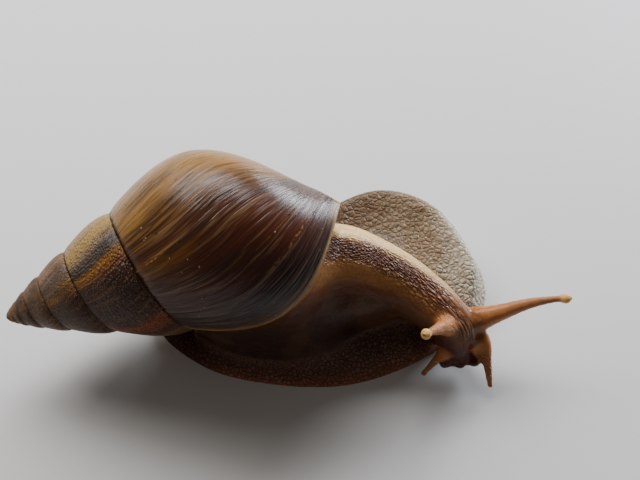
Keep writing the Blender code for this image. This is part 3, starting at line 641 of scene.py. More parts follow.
def shell_tree():
    """Geometry Nodes tree that winds the shell's wall from its law."""
    tree, maker, source, target = group_tree("Wind the shell", (
        ("Rows", "NodeSocketInt", SHELL_ROWS), ("Columns", "NodeSocketInt", SHELL_COLUMNS),
        ("Ridge Height", "NodeSocketFloat", RIDGE_HEIGHT), ("Lip Wall", "NodeSocketFloat", LIP_WALL),
        ("Material", "NodeSocketMaterial", None)))
    given = {name: maker.field(source.outputs[name]) for name in ("Rows", "Ridge Height", "Lip Wall")}
    grid = maker.add("GeometryNodeMeshGrid", {"Vertices X": source.outputs["Rows"],
                                              "Vertices Y": source.outputs["Columns"]})
    along, round_share = (part + 0.5 for part in maker.axes(maker.position())[:2])

    # The last rows turn the lip in; the others climb the coil.
    lip_share = LIP_ROWS / given["Rows"]
    lip = clip((along - 1.0 + lip_share) / lip_share, 0.0, 1.0)
    climb = clip(along / (1.0 - lip_share), 0.0, 1.0)
    first = float(WHORL_RATIO ** (FIRST_TURN - WHORLS)) ** ROW_POWER
    size = (climb * (1.0 - first) + first) ** (1 / ROW_POWER)
    coil = size.math("LOGARITHM", WHORL_RATIO) + WHORLS
    rolled = clip(lip / 0.5, 0.0, 1.0) * math.pi
    inward = given["Lip Wall"] * 0.5 * (1.0 - cosine(rolled))
    turn = coil + given["Lip Wall"] * 0.5 * sine(rolled) / MILLIMETRES_A_TURN
    turn = turn - clip((lip - 0.5) / 0.4, 0.0, 1.0) * LIP_DEPTH
    back = clip((round_share - OUTER_SHARE) / (1.0 - OUTER_SHARE), 0.0, 1.0)
    last = back.math("GREATER_THAN", 0.9999)     # meets the first column and closes the tube
    across = clip(round_share / OUTER_SHARE, 0.0, 1.0) * 2.0 * (1.0 - last)
    closing = back.math("GREATER_THAN", 1e-4) * (1.0 - last)

    # Growth ridges, repair scars and the crimped suture stand proud of the wall.
    def lines(per_turn, across_scale, detail):
        return maker.noise(maker.vector(turn * per_turn, across * across_scale, 0.0), 1.0, detail)

    ridges = (lines(95.0, 0.8, 2.0) - 0.5) * 1.4 + (lines(16.0, 0.5, 1.0) - 0.5) * 2.4
    slant = turn - 0.02 * clip(0.6 - across, 0.0, 0.6)
    scar = bump_at(slant, 6.414, 0.006) * (1.0 - smooth_rise(across, 0.45, 0.75))
    ridges = ridges + scar * 3.2 + bump_at(turn, 6.497, 0.004) * 1.2
    ridges = ridges + bump_at(turn, 6.53, 0.005) * 1.6
    crimp = (lines(60.0, 0.0, 0.0) - 0.5) * bump_at(across, 0.02, 0.09) * 5.0
    relief = (ridges + crimp) * given["Ridge Height"] * size.math("POWER", 0.5)
    sunk = bump_at(across, 0.0, 0.10) * (size.math("POWER", 0.6) * SUTURE_DEPTH)
    inset = (inward + sunk - relief * (1.0 - clip(lip * 4.0, 0.0, 1.0))) * (1.0 - closing)

    # Place of each point in the plane of its growth line, then round the axis.
    radius, height = wall_outline(turn, across)
    top, low, base = suture(turn), suture(turn + TURN), base_end(turn)
    centre = [(top[k] + low[k] * 2.0 + base[k]) * (0.19, 0.25)[k] for k in range(2)]
    pull = inset / (length(centre, (radius, height)) * SHELL_LENGTH)
    radius, height = radius + (centre[0] - radius) * pull, height + (centre[1] - height) * pull
    inner_turn, inner_across = turn - TURN, 2.0 - back
    inner = wall_outline(inner_turn, inner_across)
    angle = spin_of(turn, across)
    radius = radius + (inner[0] * (0.99 - lip * 0.01) - radius) * closing
    height = height + (inner[1] - height) * closing
    angle = angle + (spin_of(inner_turn, inner_across) - angle) * closing
    cap = clip((lip - 0.9) * 10.0, 0.0, 1.0).math("ROUND")
    radius, height = radius + (centre[0] - radius) * cap, height + (centre[1] - height) * cap
    angle = angle + (spin_of(turn, 1.0) - angle) * cap
    seed = (1.0 - along * given["Rows"]).math("GREATER_THAN", 0.5)
    radius, height = radius * (1.0 - seed), height + (top[1] - height) * seed

    # The grid's own place is kept in attributes before its points move.
    geometry = keep(maker, grid.outputs["Mesh"], turn=turn, across=across, lip=lip)
    where = maker.vector(*on_shell(radius, height, angle))
    placed = maker.add("GeometryNodeSetPosition", {"Geometry": geometry, "Position": where})
    twist = columella(maker)
    tip = maker.add("GeometryNodeMeshUVSphere", {"Segments": 32, "Rings": 16, "Radius": TIP_RADIUS})
    moved = maker.add("GeometryNodeTransform", {"Geometry": tip.outputs["Mesh"]})
    axis = shell_axes()[:, 2]
    moved.inputs["Translation"].default_value = [APEX[k] + MIDDLE[k] + TIP_HEIGHT * float(axis[k])
                                                 for k in range(3)]
    both = maker.add("GeometryNodeJoinGeometry")
    for part in (moved.outputs[0], twist, placed.outputs[0]):
        tree.links.new(part, both.inputs[0])
    close_outputs(maker, both.outputs[0], source, target)
    return tree


def shell_material(look):
    material, tree = new_material("whorls")
    turn, across, lip = (tree.number(name) for name in ("turn", "across", "lip"))
    place = tree.position()
    wobble = tree.noise(place, 55.0, 2.0) - 0.5
    # Toward the base side the bands are pushed toward the lip, so the pale shell reaches further there:
    # painted glancing light on that part of the last whorl.
    age = turn + wobble * 0.016 - smooth_rise(across, 0.9, 1.7) * 0.045

    def banded(bands):
        low, high = bands[0][0], bands[-1][0]
        return tree.ramp((age - low) / (high - low), [((t - low) / (high - low), c) for t, c in bands])

    def streaks(per_turn, across_scale, detail=3.0):
        return tree.noise(tree.vector(turn * per_turn, across * across_scale, 3.0), 1.0, detail, 0.6)

    on_body = smooth_rise(turn, 5.622, 5.632)
    young = 1.0 - smooth_rise(turn, 3.0, 4.3)
    mottled = smooth_rise(tree.noise(place, 330.0, 3.0, 0.6), 0.36, 0.62)
    patch = bump_at(age, 6.428, 0.030) * (1.0 - smooth_rise(across, 0.42, 0.75))
    colour = tree.coats(
        tree.blend(on_body, banded(SPIRE_BANDS), banded(BODY_BANDS)),
        (young * 0.85, tree.blend(mottled, look.spire_dark, look.spire_pale)),
        (1.0 - smooth_rise(turn, 0.6, 2.2), look.tip), (patch * 0.85, look.patch))

    # Broad, fine and hair-fine growth streaks, crowded in two places of the last whorl.
    broad, fine, hair = streaks(34.0, 0.9), streaks(150.0, 1.4), streaks(420.0, 2.0, 1.0)
    crowd = clip(bump_at(age, 6.205, 0.045) + bump_at(age, 6.37, 0.05), 0.0, 1.0)
    dark = smooth_rise(broad, 0.50, 0.64) * 0.7
    pale = smooth_rise(fine, 0.53, 0.68) * 0.62
    thin = (1.0 - smooth_rise(fine - crowd * 0.12, 0.29, 0.42)) * (crowd * 0.30 + 0.68)
    colour = tree.coats(
        colour, (dark * 0.72, look.streak_dark), (pale * 0.36, look.streak_pale),
        (thin * 0.8, look.streak_dark), (smooth_rise(hair, 0.45, 0.7) * 0.22, look.streak_dark))

    # Net of small grains on the whorls before the last.
    grain_cells = tree.cells(tree.vector(turn * 120.0, across * 26.0, 0.0), 1.0, random=0.7)
    grains = smooth_rise(0.62 - grain_cells, 0.0, 0.35) * (1.0 - on_body)
    worn = smooth_rise(tree.noise(place, 900.0, 2.0), 0.58, 0.70)

    # Scars, the rim of the lip, a pale callus toward the base and the suture's line.
    slant = turn - 0.02 * clip(0.6 - across, 0.0, 0.6)
    scars = bump_at(turn + wobble * 0.008, 6.531, 0.0032) * smooth_rise(across, 0.9, 1.2)
    scars = scars + bump_at(turn + wobble * 0.01, 6.498, 0.0020) * 0.4 * smooth_rise(across, 0.8, 1.3)
    notch = bump_at(slant + wobble * 0.01, 6.412, 0.0022) * (1.0 - smooth_rise(across, 0.22, 0.45))
    patchy = tree.noise(tree.vector(turn * 150.0, across * 22.0, 0.0), 1.0, 2.0)
    scars = clip((scars + notch) * smooth_rise(patchy, 0.42, 0.60), 0.0, 1.0)
    callus = smooth_rise(across + wobble * 0.3, 2.02, 2.35)
    rim = smooth_rise(turn + wobble * 0.004, 6.5915, 6.598)
    rim = clip(rim * (0.25 + smooth_rise(across, 0.8, 1.5) * 0.5) + lip * 2.0, 0.0, 1.0)
    corner = smooth_rise(across, 1.55, 1.95) * smooth_rise(turn + wobble * 0.02, 6.555, 6.590)
    # Dark line along the suture: painted shade in the crease between the whorls.
    seam = clip(bump_at(across, 0.0, 0.07) + bump_at(across, 0.0, 0.02) * 0.5, 0.0, 1.0)
    colour = tree.coats(
        colour, (worn * grains * 0.5, look.worn), (scars * 0.75, look.scar), (callus, look.callus),
        (rim, look.lip), (corner * (1.0 - callus) * 0.6, look.scar), (seam * 0.8, look.seam))

    # Chips and crumbs of soil: short pale flecks, and dark pits.
    few = smooth_rise(tree.noise(place, 95.0, 1.0), 0.56, 0.66)
    ragged = tree.noise(place, 1500.0, 1.0) * 0.16
    fleck = (1.0 - smooth_rise(tree.cells(place, 420.0) + ragged, 0.13, 0.22)) * few
    pits = (1.0 - smooth_rise(tree.cells(place, 230.0), 0.07, 0.14)) * on_body
    colour = tree.coats(colour, (fleck * 0.85, look.fleck), (pits * 0.7, look.streak_dark))
    colour = tree.enriched(colour, look.richness)

    rough = 0.50 - on_body * 0.22 + (fine - 0.5) * 0.30 + fleck * 0.3
    relief_fine = hair * 0.35 + fine * 0.65 + broad * 0.8
    finish_material(tree, colour, clip(rough, 0.12, 0.9),
                    ((relief_fine, 0.00044), (grains, 0.00030), (fleck, 0.0002)),
                    Coat_Weight=0.06, Coat_Roughness=0.2, Specular_IOR_Level=0.3)
    return material


# ---------------------------------------------------------------- the flesh's form

def build_foot():
    edge = closed_path(FOOT_EDGE, FOOT_STEPS)
    count = len(edge)
    spine = smooth_path(FOOT_SPINE, FOOT_STEPS)
    reach = np.arange(count) * len(FOOT_EDGE) / count
    along = np.where(reach < FOOT_FRONT, reach / FOOT_FRONT,
                     (len(FOOT_EDGE) - reach) / (len(FOOT_EDGE) - FOOT_FRONT))
    inner = spine[np.round(along * (len(spine) - 1)).astype(int)]
    distance = np.linalg.norm(inner[:, :2] - edge[:, :2], axis=1)
    rolled = FRINGE_WIDTH + EDGE_WIDTH
    rings = [np.column_stack([edge[:, :2], np.full(count, -SOLE_DEPTH)])]
    for share in np.linspace(0, 0.99, FOOT_RINGS) ** 1.6:
        inward = share * distance
        fringe = FRINGE_HEIGHT * np.sin(math.pi / 2 * np.clip(inward / FRINGE_WIDTH, 0, 1)) ** 0.7
        roll = np.sin(math.pi / 2 * np.clip((inward - FRINGE_WIDTH * 0.6) / EDGE_WIDTH, 0, 1)) ** 1.2
        past = np.clip((inward - rolled) / (distance - rolled), 0, 1)
        height = fringe + (edge[:, 2] - FRINGE_HEIGHT) * roll
        height += (inner[:, 2] - edge[:, 2]) * past ** 1.5
        height -= VALLEY * edge[:, 2] * np.sin(math.pi * past) * (edge[:, 2] > 8.5)
        rings.append(np.column_stack([edge[:, :2] + (inner[:, :2] - edge[:, :2]) * share, height]))
    return loft("foot", [ring * MM for ring in rings])


def mouth_ring(turn, inset, lift, trim=0.0, hub=False):
    """Outline of the mouth: down the lip, then up the whorl inside it, past the axis with hub."""
    (top, base), (inner_base, inner_top) = MOUTH_OUTER, MOUTH_INNER
    outer = shell_point(turn, np.linspace(top + trim, base - trim, LIP_POINTS), inset)
    inner_across = np.linspace(inner_base - trim, inner_top + trim, INNER_POINTS)
    inner = shell_point(turn - TURN, inner_across, -lift)
    height = np.linspace(base_end(turn)[1] - HUB_BACK, base_end(turn - 1)[1], HUB_POINTS)
    axis = np.stack(on_shell(np.full(HUB_POINTS, HUB_RADIUS), height, spin_of(turn, 2.0)), -1)
    return np.vstack([outer, axis, inner] if hub else [outer, inner]) - np.array(MIDDLE)


def build_trunk():
    top = mouth_ring(WHORLS + TRUNK_REACH, TRUNK_INSET, TRUNK_LIFT)
    turn = np.linspace(0, 2 * math.pi, len(top), endpoint=False)
    start = math.atan2(top[0, 1] - top[:, 1].mean(), top[0, 0] - top[:, 0].mean())
    x, y, z, reach, width = TRUNK_FOOT
    floor = np.column_stack([x + reach * np.cos(start + turn), y + width * np.sin(start + turn),
                             np.full(len(top), z)]) * MM
    rings = []
    for share in np.linspace(0, 1, TRUNK_RINGS) ** 1.3:
        ring = floor + (top - floor) * share ** TRUNK_FLARE
        ring[:, 2] = floor[:, 2] + (top - floor)[:, 2] * share
        rings.append(ring)
    return loft("trunk", rings)


def build_mantle():
    """Collar of flesh that fills the mouth inside the lip."""
    turns = np.linspace(WHORLS - LIP_DEPTH + MANTLE_BACK, WHORLS + MANTLE_FRONT, MANTLE_RINGS)
    return loft("mantle", [mouth_ring(turn, LIP_WALL + MANTLE_INSET, MANTLE_LIFT, MANTLE_TRIM, hub=True)
                           for turn in turns])


def keep_out_of_shell(flesh, clearance):
    """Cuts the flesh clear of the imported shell, grown by a small clearance."""
    for name in LARGE_WHORLS:
        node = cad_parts[name]
        room = link("room", bpy.data.meshes.new("room"))
        with Reshape(room.data) as work:
            work.from_mesh(node.data)
            work.transform(node.matrix_world)
            bmesh.ops.remove_doubles(work, verts=work.verts, dist=1e-6)
            work.normal_update()
            for vertex in work.verts:
                vertex.co += vertex.normal * clearance - Vector(MIDDLE)
        tool = flesh.modifiers.new("room", "BOOLEAN")
        tool.operation, tool.object, tool.solver = "DIFFERENCE", room, "EXACT"
        plain(flesh)
        remove(room)


def remesh(item, voxel, rounds):
    skin = item.modifiers.new("skin", "REMESH")
    skin.mode, skin.voxel_size, skin.adaptivity = "VOXEL", voxel, 0.0
    even = item.modifiers.new("even", "SMOOTH")
    even.factor, even.iterations = 0.5, rounds
    plain(item)


def flat_sole(item):
    """Cuts the skin flat on the floor and closes it there."""
    with Reshape(item.data) as work:
        parts = list(work.verts) + list(work.edges) + list(work.faces)
        bmesh.ops.bisect_plane(work, geom=parts, dist=1e-7, plane_co=(0, 0, SOLE_CUT),
                               plane_no=(0, 0, 1), clear_inner=True)
        bmesh.ops.holes_fill(work, edges=[edge for edge in work.edges if edge.is_boundary], sides=0)
        for vertex in work.verts:
            if vertex.co.z < SOLE_SNAP:
                vertex.co.z = 0.0
        bmesh.ops.recalc_face_normals(work, faces=work.faces)


def drop_crumbs(item):
    """Keeps only the largest body of the mesh."""
    with Reshape(item.data) as work:
        left, bodies = set(work.verts), []
        while left:
            body, front = set(), [left.pop()]
            while front:
                vertex = front.pop()
                body.add(vertex)
                for other in (edge.other_vert(vertex) for edge in vertex.link_edges):
                    if other in left:
                        left.discard(other)
                        front.append(other)
            bodies.append(body)
        for body in sorted(bodies, key=len)[:-1]:
            bmesh.ops.delete(work, geom=list(body), context="VERTS")


def soften(item, weights, rounds):
    """Smooths the mesh as far as each point's weight allows."""
    mesh, points = item.data, points_of(item.data)
    ends = np.empty(len(mesh.edges) * 2, int)
    mesh.edges.foreach_get("vertices", ends)
    a, b = ends.reshape(-1, 2).T
    count = np.maximum(np.bincount(ends, minlength=len(points)), 1)
    for _ in range(rounds):
        for k in range(3):
            total = np.bincount(a, points[b, k], len(points))
            total += np.bincount(b, points[a, k], len(points))
            points[:, k] += weights * (total / count - points[:, k])
    mesh.vertices.foreach_set("co", points.ravel())
    mesh.update()


def blend_body(item):
    """Rounds off the folds where trunk, throat, neck and foot meet, and less so by the head."""
    x, y, z = (points_of(item.data) / MM).T
    low = 1 - smooth_rise(np.hypot((x - 20) / 30, (y + 10) / 24), 0.75, 1.15)
    soften(item, 0.5 * low * smooth_rise(z, 4, 10), BLEND_ROUNDS)


def flesh_form(voxel):
    parts = [build_foot(), build_trunk()]
    parts += [loft(name, tube_rings(smooth_path(path, PATH_STEPS) * MM, BODY_SIDES))
              for name, path in (("neck", NECK), ("throat", THROAT))]
    parts += [ball("lip", (x * MM, y * MM, z * MM), radius * MM) for x, y, z, radius in LIPS]
    parts += [loft(name, tube_rings(tentacle_path(name), FEELER_SIDES)) for name in TENTACLES]
    for name in TENTACLES:
        radius = KNOB_RADIUS * KNOB_GROWTH if name in UPPERS else TIP_BALL
        parts.append(ball("knob", tentacle_path(name)[-1][:3], radius))
    flesh = join(parts, "flesh")
    remesh(flesh, BLANK_VOXEL, 4)
    blend_body(flesh)
    flesh = join([flesh, build_mantle()], "skin")
    remesh(flesh, BLANK_VOXEL, 1)
    keep_out_of_shell(flesh, SHELL_CLEARANCE)
    drop_crumbs(flesh)
    remesh(flesh, voxel, 3)
    refine(flesh)
    flesh.data.transform(Matrix.Translation(MIDDLE))
    return flesh


def refine(item):
    """Halves the facets on the back of the neck and on the head, where the skin is finest."""
    path = smooth_path(NECK, 4)[:, :3] * MM
    with Reshape(item.data) as work:
        work.normal_update()
        _, gap = nearest_on(path, np.array([edge.verts[0].co for edge in work.edges]))
        fine = []
        for edge, space in zip(work.edges, gap / MM):
            place, way = edge.verts[0].co / MM, edge.verts[0].normal
            back = space < 14 and place.x > 14 and place.z > 20 and way.z > 0.35
            face = space < 12 and place.x > 46 and place.z > 4 and (way.z > 0.0 or way.y < 0.2)
            if back or face:
                fine.append(edge)
        bmesh.ops.subdivide_edges(work, edges=fine, cuts=1, use_grid_fill=True)
        bmesh.ops.triangulate(work, faces=[face for face in work.faces if len(face.verts) > 4])


# ---------------------------------------------------------------- where a point of the skin is

def nearest_on(path, points):
    """For each point, the nearest sample of a path and the distance to it."""
    nearest, distance = np.zeros(len(points), int), np.empty(len(points))
    for start in range(0, len(points), 20000):
        part = points[start:start + 20000]
        gaps = np.linalg.norm(part[:, None] - path[None], axis=2)
        nearest[start:start + 20000] = gaps.argmin(axis=1)
        distance[start:start + 20000] = gaps.min(axis=1)
    return nearest, distance


def map_skin(mesh):
    """Stores what the skin's pattern follows: the neck, the foot's margin, the head, the feelers."""
    points = points_of(mesh) - np.array(MIDDLE)
    x, y, z = (points / MM).T

    neck = smooth_path(NECK, 16)
    centre = neck[:, :3] * MM
    steps = np.linalg.norm(np.diff(centre, axis=0), axis=1)
    run = np.concatenate([[0], np.cumsum(steps)])
    nearest, _ = nearest_on(centre, points)
    way = np.gradient(centre, axis=0)
    way /= np.linalg.norm(way, axis=1, keepdims=True)
    side = np.cross((0, 0, 1), way)
    side /= np.linalg.norm(side, axis=1, keepdims=True)
    above = np.cross(way, side)
    away = points - centre[nearest]
    over_start = np.minimum((away * way[0]).sum(axis=1), 0) * (nearest == 0)
    sideways = (away * side[nearest]).sum(axis=1)
    upward = (away * above[nearest]).sum(axis=1)
    phi = np.arctan2(sideways, upward)
    radius = (neck[nearest, 3] + neck[nearest, 4]) / 2 * MM
    ratio = np.hypot(sideways, upward) / radius
    along = run[nearest] + over_start

    edge = closed_path(FOOT_EDGE, 16)[:, :2] * MM
    _, margin = nearest_on(edge, points[:, :2])
    neck_y = np.interp(x, neck[:60, 0], neck[:60, 1])
    far = smooth_rise(y - neck_y, -4, 6)
    near_wall = (1 - far) * smooth_rise(z, 8.5, 12.5)
    on_neck = np.clip(np.maximum(1 - smooth_rise(ratio, 1.18, 1.6), near_wall), 0, 1)

    feeler, tip, knob = np.zeros(len(points)), np.zeros(len(points)), np.zeros(len(points))
    for name in TENTACLES:
        path = tentacle_path(name)
        at, gap = nearest_on(path[:, :3], points)
        share = at / (len(path) - 1)
        close = (1 - smooth_rise(gap / path[at, 3], 1.25, 1.9)) * smooth_rise(share, 0.12, 0.35)
        better = close > feeler
        feeler, tip = np.where(better, close, feeler), np.where(better, share, tip)
        if name in UPPERS:
            gap_end = np.linalg.norm(points - path[-1, :3], axis=1)
            knob = np.maximum(knob, 1 - smooth_rise(gap_end, 1.7 * MM, 2.5 * MM))
    head = smooth_rise(along / MM, 46, 56) * (1 - smooth_rise(ratio, 1.7, 2.3))
    lip_line = shell_point(WHORLS, np.linspace(0, 2, 60)) - np.array(MIDDLE)
    _, lip_gap = nearest_on(lip_line, points)
    mantle = 1 - smooth_rise(lip_gap, 1.2 * MM, 3.2 * MM)

    for name, values in (("along", along / MM), ("around", phi / math.pi * 0.5 + 0.5),
                         ("girth", phi * radius / MM), ("margin", margin / MM), ("far", far),
                         ("on_neck", on_neck), ("feeler", feeler), ("tip", tip), ("knob", knob),
                         ("head", head), ("mantle", mantle)):
        store(mesh, name, values)


# Colours round the neck: 0 and 1 underneath, 0.5 on top, more than 0.5 toward the left. The stripes are
# the neck's own; below 0.45, on the near side, and at both ends underneath they are darkened partly by
# painted shade.
NECK_BANDS_AND_SHADE = (
    (0.10, (0.018, 0.006, 0.003)), (0.20, (0.030, 0.009, 0.004)), (0.265, (0.075, 0.022, 0.008)),
    (0.315, (0.17, 0.058, 0.021)), (0.345, (0.35, 0.155, 0.055)), (0.40, (0.42, 0.195, 0.070)),
    (0.425, (0.24, 0.10, 0.042)), (0.45, (0.17, 0.070, 0.044)), (0.505, (0.19, 0.078, 0.048)),
    (0.524, (0.40, 0.21, 0.085)), (0.544, (0.80, 0.49, 0.185)), (0.64, (0.86, 0.55, 0.225)),
    (0.685, (0.46, 0.29, 0.14)), (0.75, (0.24, 0.155, 0.085)), (0.90, (0.06, 0.034, 0.021)),
)
# Colours round the head, read like the neck's; the dark ends underneath are partly painted shade.
HEAD_BANDS_AND_SHADE = (
    (0.12, (0.030, 0.006, 0.003)), (0.28, (0.060, 0.013, 0.005)), (0.39, (0.13, 0.040, 0.015)),
    (0.46, (0.24, 0.105, 0.055)), (0.56, (0.24, 0.10, 0.045)), (0.66, (0.28, 0.105, 0.028)),
    (0.80, (0.12, 0.035, 0.010)),
)
# Near flank from its margin inward: pale at the margin, then darker, partly painted shade on the side
# turned away from the light.
NEAR_FOOT_SHADED = (
    (0.0, (0.60, 0.24, 0.145)), (0.06, (0.36, 0.145, 0.092)), (0.20, (0.19, 0.092, 0.068)),
    (0.50, (0.14, 0.075, 0.058)), (1.0, (0.045, 0.018, 0.012)),
)
FAR_FOOT = (
    (0.0, (0.42, 0.29, 0.19)), (0.12, (0.30, 0.205, 0.125)), (0.40, (0.34, 0.245, 0.155)),
    (1.0, (0.30, 0.21, 0.125)),
)


NET_BEND = 0.0022                 # metres that the net on the foot is bent


def skin_cells(maker, read):
    """Edge distances of the two nets in the skin, on the neck and on the foot."""
    along, girth, place = read("along"), read("girth"), maker.position()
    warp = maker.add("ShaderNodeTexNoise", {"Vector": place, "Scale": 160.0, "Detail": 1.0})
    bent = maker.add("ShaderNodeVectorMath", operation="MULTIPLY_ADD")
    for slot, value in zip(bent.inputs, (warp.outputs["Color"], (NET_BEND,) * 3, place)):
        maker.feed(slot, value)
    swell = 1.0 - along * 0.0062
    granules = maker.vector(along * swell / 1.3 + girth * 0.12, girth * swell / 0.82, 0.0)
    return (maker.cells(granules, 1.0, "DISTANCE_TO_EDGE", 0.95),
            maker.cells(bent.outputs[0], 720.0 - read("far") * 190.0, "DISTANCE_TO_EDGE"))


def neck_lean(along):
    """How far the bands swing round the neck where it leaves the shell."""
    return 1.0 - smooth_rise(along, 8.0, 34.0)


def relief_tree():
    """Geometry Nodes tree that raises the granules of the skin."""
    tree, maker, source, target = group_tree("Raise the granules", (
        ("Granule Height", "NodeSocketFloat", GRANULE_HEIGHT),
        ("Furrow Depth", "NodeSocketFloat", FURROW_DEPTH), ("Material", "NodeSocketMaterial", None)))

    def read(name):
        node = maker.add("GeometryNodeInputNamedAttribute", {"Name": name}, data_type="FLOAT")
        return maker.field(node.outputs[0])

    neck_edge, foot_edge = skin_cells(maker, read)
    along, around, on_neck, far, feeler, knob, head = (read(name) for name in (
        "along", "around", "on_neck", "far", "feeler", "knob", "head"))
    height = maker.axes(maker.position())[2]

    # Granules cover the back of the neck; the stripes beside it are smoother.
    lean = neck_lean(along) * 0.03
    back = bump_at(around + lean, 0.48, 0.11) + bump_at(around, 0.68, 0.14) * 0.2 - head * 0.35
    back = back * smooth_rise(height, 0.013, 0.019)
    near_foot = 1.0 - smooth_rise(height, 0.010, 0.016)
    calm = (1.0 - feeler) * (1.0 - knob)
    rounded = smooth_rise(neck_edge, 0.0, 0.34) - 0.75
    tiled = smooth_rise(foot_edge, 0.0, 0.26) - 0.75
    neck_part = rounded * on_neck * (0.06 + 0.60 * clip(back, 0.0, 1.0))
    foot_part = tiled * (1.0 - on_neck) * (0.60 * near_foot + 0.20 * far)
    lift = (neck_part + foot_part) * calm
    furrow = maker.noise(maker.vector(along / 7.0, read("girth") / 1.6, 0.0), 1.0, 1.0) - 0.5
    rings = (read("tip") * 90.0).math("SINE") * feeler * (1.0 - knob) * 0.10
    total = lift * maker.field(source.outputs["Granule Height"]) + (
        furrow * on_neck * calm * 1.2 + rings) * maker.field(source.outputs["Furrow Depth"])
    on_floor = smooth_rise(height, 0.0002, 0.0012)
    push = maker.add("ShaderNodeVectorMath", operation="SCALE")
    maker.feed(push.inputs[0], maker.add("GeometryNodeInputNormal").outputs[0])
    maker.feed(push.inputs["Scale"], total * on_floor)
    raised = maker.add("GeometryNodeSetPosition", {"Geometry": source.outputs["Geometry"],
                                                   "Offset": push.outputs[0]})
    close_outputs(maker, raised.outputs[0], source, target)
    return tree


def skin_material(look):
    material, tree = new_material("wet_skin")
    place = tree.position()
    x, _, height = tree.axes(place)
    along, girth, around, margin, far, on_neck, feeler, tip, knob, head, mantle = (
        tree.number(name) for name in ("along", "girth", "around", "margin", "far", "on_neck",
                                       "feeler", "tip", "knob", "head", "mantle"))
    neck_edge, foot_edge = skin_cells(tree, tree.number)
    fine = tree.cells(place, 950.0, "F1", 0.9)
    mottle = tree.noise(place, 210.0, 3.0, 0.6)
    clouds = tree.noise(place, 70.0, 2.0)
    fibres = tree.noise(tree.vector(along / 9.0, girth * 1.1, 0.0), 1.0, 3.0, 0.6)

    # Neck and trunk: stripes that run from the mouth to the head, darkened on the near side and
    # underneath partly by painted shade.
    drift = around + (fibres - 0.5) * 0.035 + (mottle - 0.5) * 0.012
    drift = drift + neck_lean(along) * 0.028 - smooth_rise(along, 26.0, 44.0) * 0.034
    cream = (1.0 - smooth_rise(along, 2.0, 14.0)) * bump_at(around, 0.61, 0.10)
    neck = tree.coats(
        tree.ramp(drift, NECK_BANDS_AND_SHADE), (smooth_rise(along, 26.0, 48.0) * 0.45, look.neck_front),
        (cream * 0.5, look.cream))
    neck = tree.blend(smooth_rise(fibres, 0.52, 0.72) * (0.30 * 0.35), neck, look.dark, "MULTIPLY")
    # The lower head takes the snout's dark red-brown: the face's own colour, partly painted shade on
    # the lower face.
    shaded_skull = tree.blend(1.0 - smooth_rise(height, 0.0125, 0.0205),
                       tree.ramp(around + (mottle - 0.5) * 0.05, HEAD_BANDS_AND_SHADE), look.shaded_snout)
    neck = tree.blend(head, neck, shaded_skull)

    # Foot: a pale margin, a dark near flank that is partly painted shade, and a grey-green far flank.
    rim = clip(margin / 16.0 + (mottle - 0.5) * 0.04, 0.0, 1.0)
    near_foot = tree.coats(
        # Darker toward the tail under the shell: the foot's own colour, partly painted shade of the
        # shell.
        tree.ramp(rim, NEAR_FOOT_SHADED), (1.0 - smooth_rise(x, -0.036, -0.020), look.tail),
        (smooth_rise(x, 0.050, 0.062), look.far_back_and_shade))
    far_foot = tree.coats(
        # Paler toward the front: the flank's own pale grey-green, partly a painted wet sheen.
        tree.ramp(rim, FAR_FOOT), (smooth_rise(x, 0.046, 0.066) * 0.85, look.far_front_and_sheen),
        # Darker toward the shell: painted shade of the shell on the far flank; the dark mottling after
        # it is the skin's own.
        ((1.0 - smooth_rise(x, 0.022, 0.056)) * 0.8, look.far_back_and_shade),
        (smooth_rise(mottle, 0.46, 0.66) * 0.45, look.far_back_and_shade))
    colour = tree.blend(on_neck, tree.blend(far, near_foot, far_foot), neck)

    # Dark net between the granules, partly painted shade in the grooves, and paler granule tops, partly
    # a painted highlight.
    reach = 0.10 + smooth_rise(along, 14.0, 40.0) * 0.05
    spine = bump_at(around + neck_lean(along) * 0.03, 0.475, reach)
    granular = clip(spine * 1.4 - head * 0.55, 0.0, 1.0) * on_neck * smooth_rise(height, 0.013, 0.019)
    net = (1.0 - smooth_rise(foot_edge, 0.0, 0.16)) * (1.0 - on_neck)
    lines = (1.0 - smooth_rise(neck_edge, 0.02, 0.22)) * granular
    lines = lines + net * (1.0 - far * (0.12 + clouds * 0.4))
    colour = tree.blend(clip(lines, 0.0, 1.0) * (0.68 * 0.8), colour, look.dark, "MULTIPLY")
    freckles = smooth_rise(fine, 0.45, 0.75) * (1.0 - feeler)
    colour = tree.coats(
        colour, (smooth_rise(neck_edge, 0.18, 0.40) * granular * 0.45, look.granule),
        (freckles * 0.22, look.dark), (smooth_rise(clouds, 0.48, 0.68) * 0.20, look.warm))

    # Feelers, knobs and the mantle's rim.
    stalk = tree.blend(smooth_rise(tip, 0.25, 0.75), look.feeler_root, look.feeler_tip)
    stalk = tree.blend(smooth_rise(mottle, 0.45, 0.7) * 0.35, stalk, look.feeler_dark)
    colour = tree.coats(colour, (feeler, stalk), (knob, look.knob), (mantle * 0.8, look.mantle))
    colour = tree.enriched(colour, look.richness)

    rough = 0.33 + (mottle - 0.5) * 0.25 + lines * 0.12
    rough = rough - smooth_rise(x, 0.036, 0.062) * far * 0.15 - granular * 0.06 - head * 0.09
    weave = smooth_rise(neck_edge, 0.0, 0.3) * granular
    weave = weave + smooth_rise(foot_edge, 0.0, 0.25) * (1.0 - on_neck) * (1.0 - far * 0.55)
    weave = weave + smooth_rise(clouds + mottle, 0.7, 1.3) * far * (1.0 - on_neck) * 0.9
    finish_material(tree, colour, clip(rough, 0.14, 0.8),
                    ((weave, 0.00046), (fine, 0.00009), (mottle, 0.00012)),
                    Coat_Weight=0.10, Coat_Roughness=0.10, Subsurface_Weight=0.2,
                    Subsurface_Scale=0.0014, Specular_IOR_Level=0.16,
                    Specular_Tint=(1.0, 0.86, 0.74, 1.0))
    return material


# ---------------------------------------------------------------- the eyes

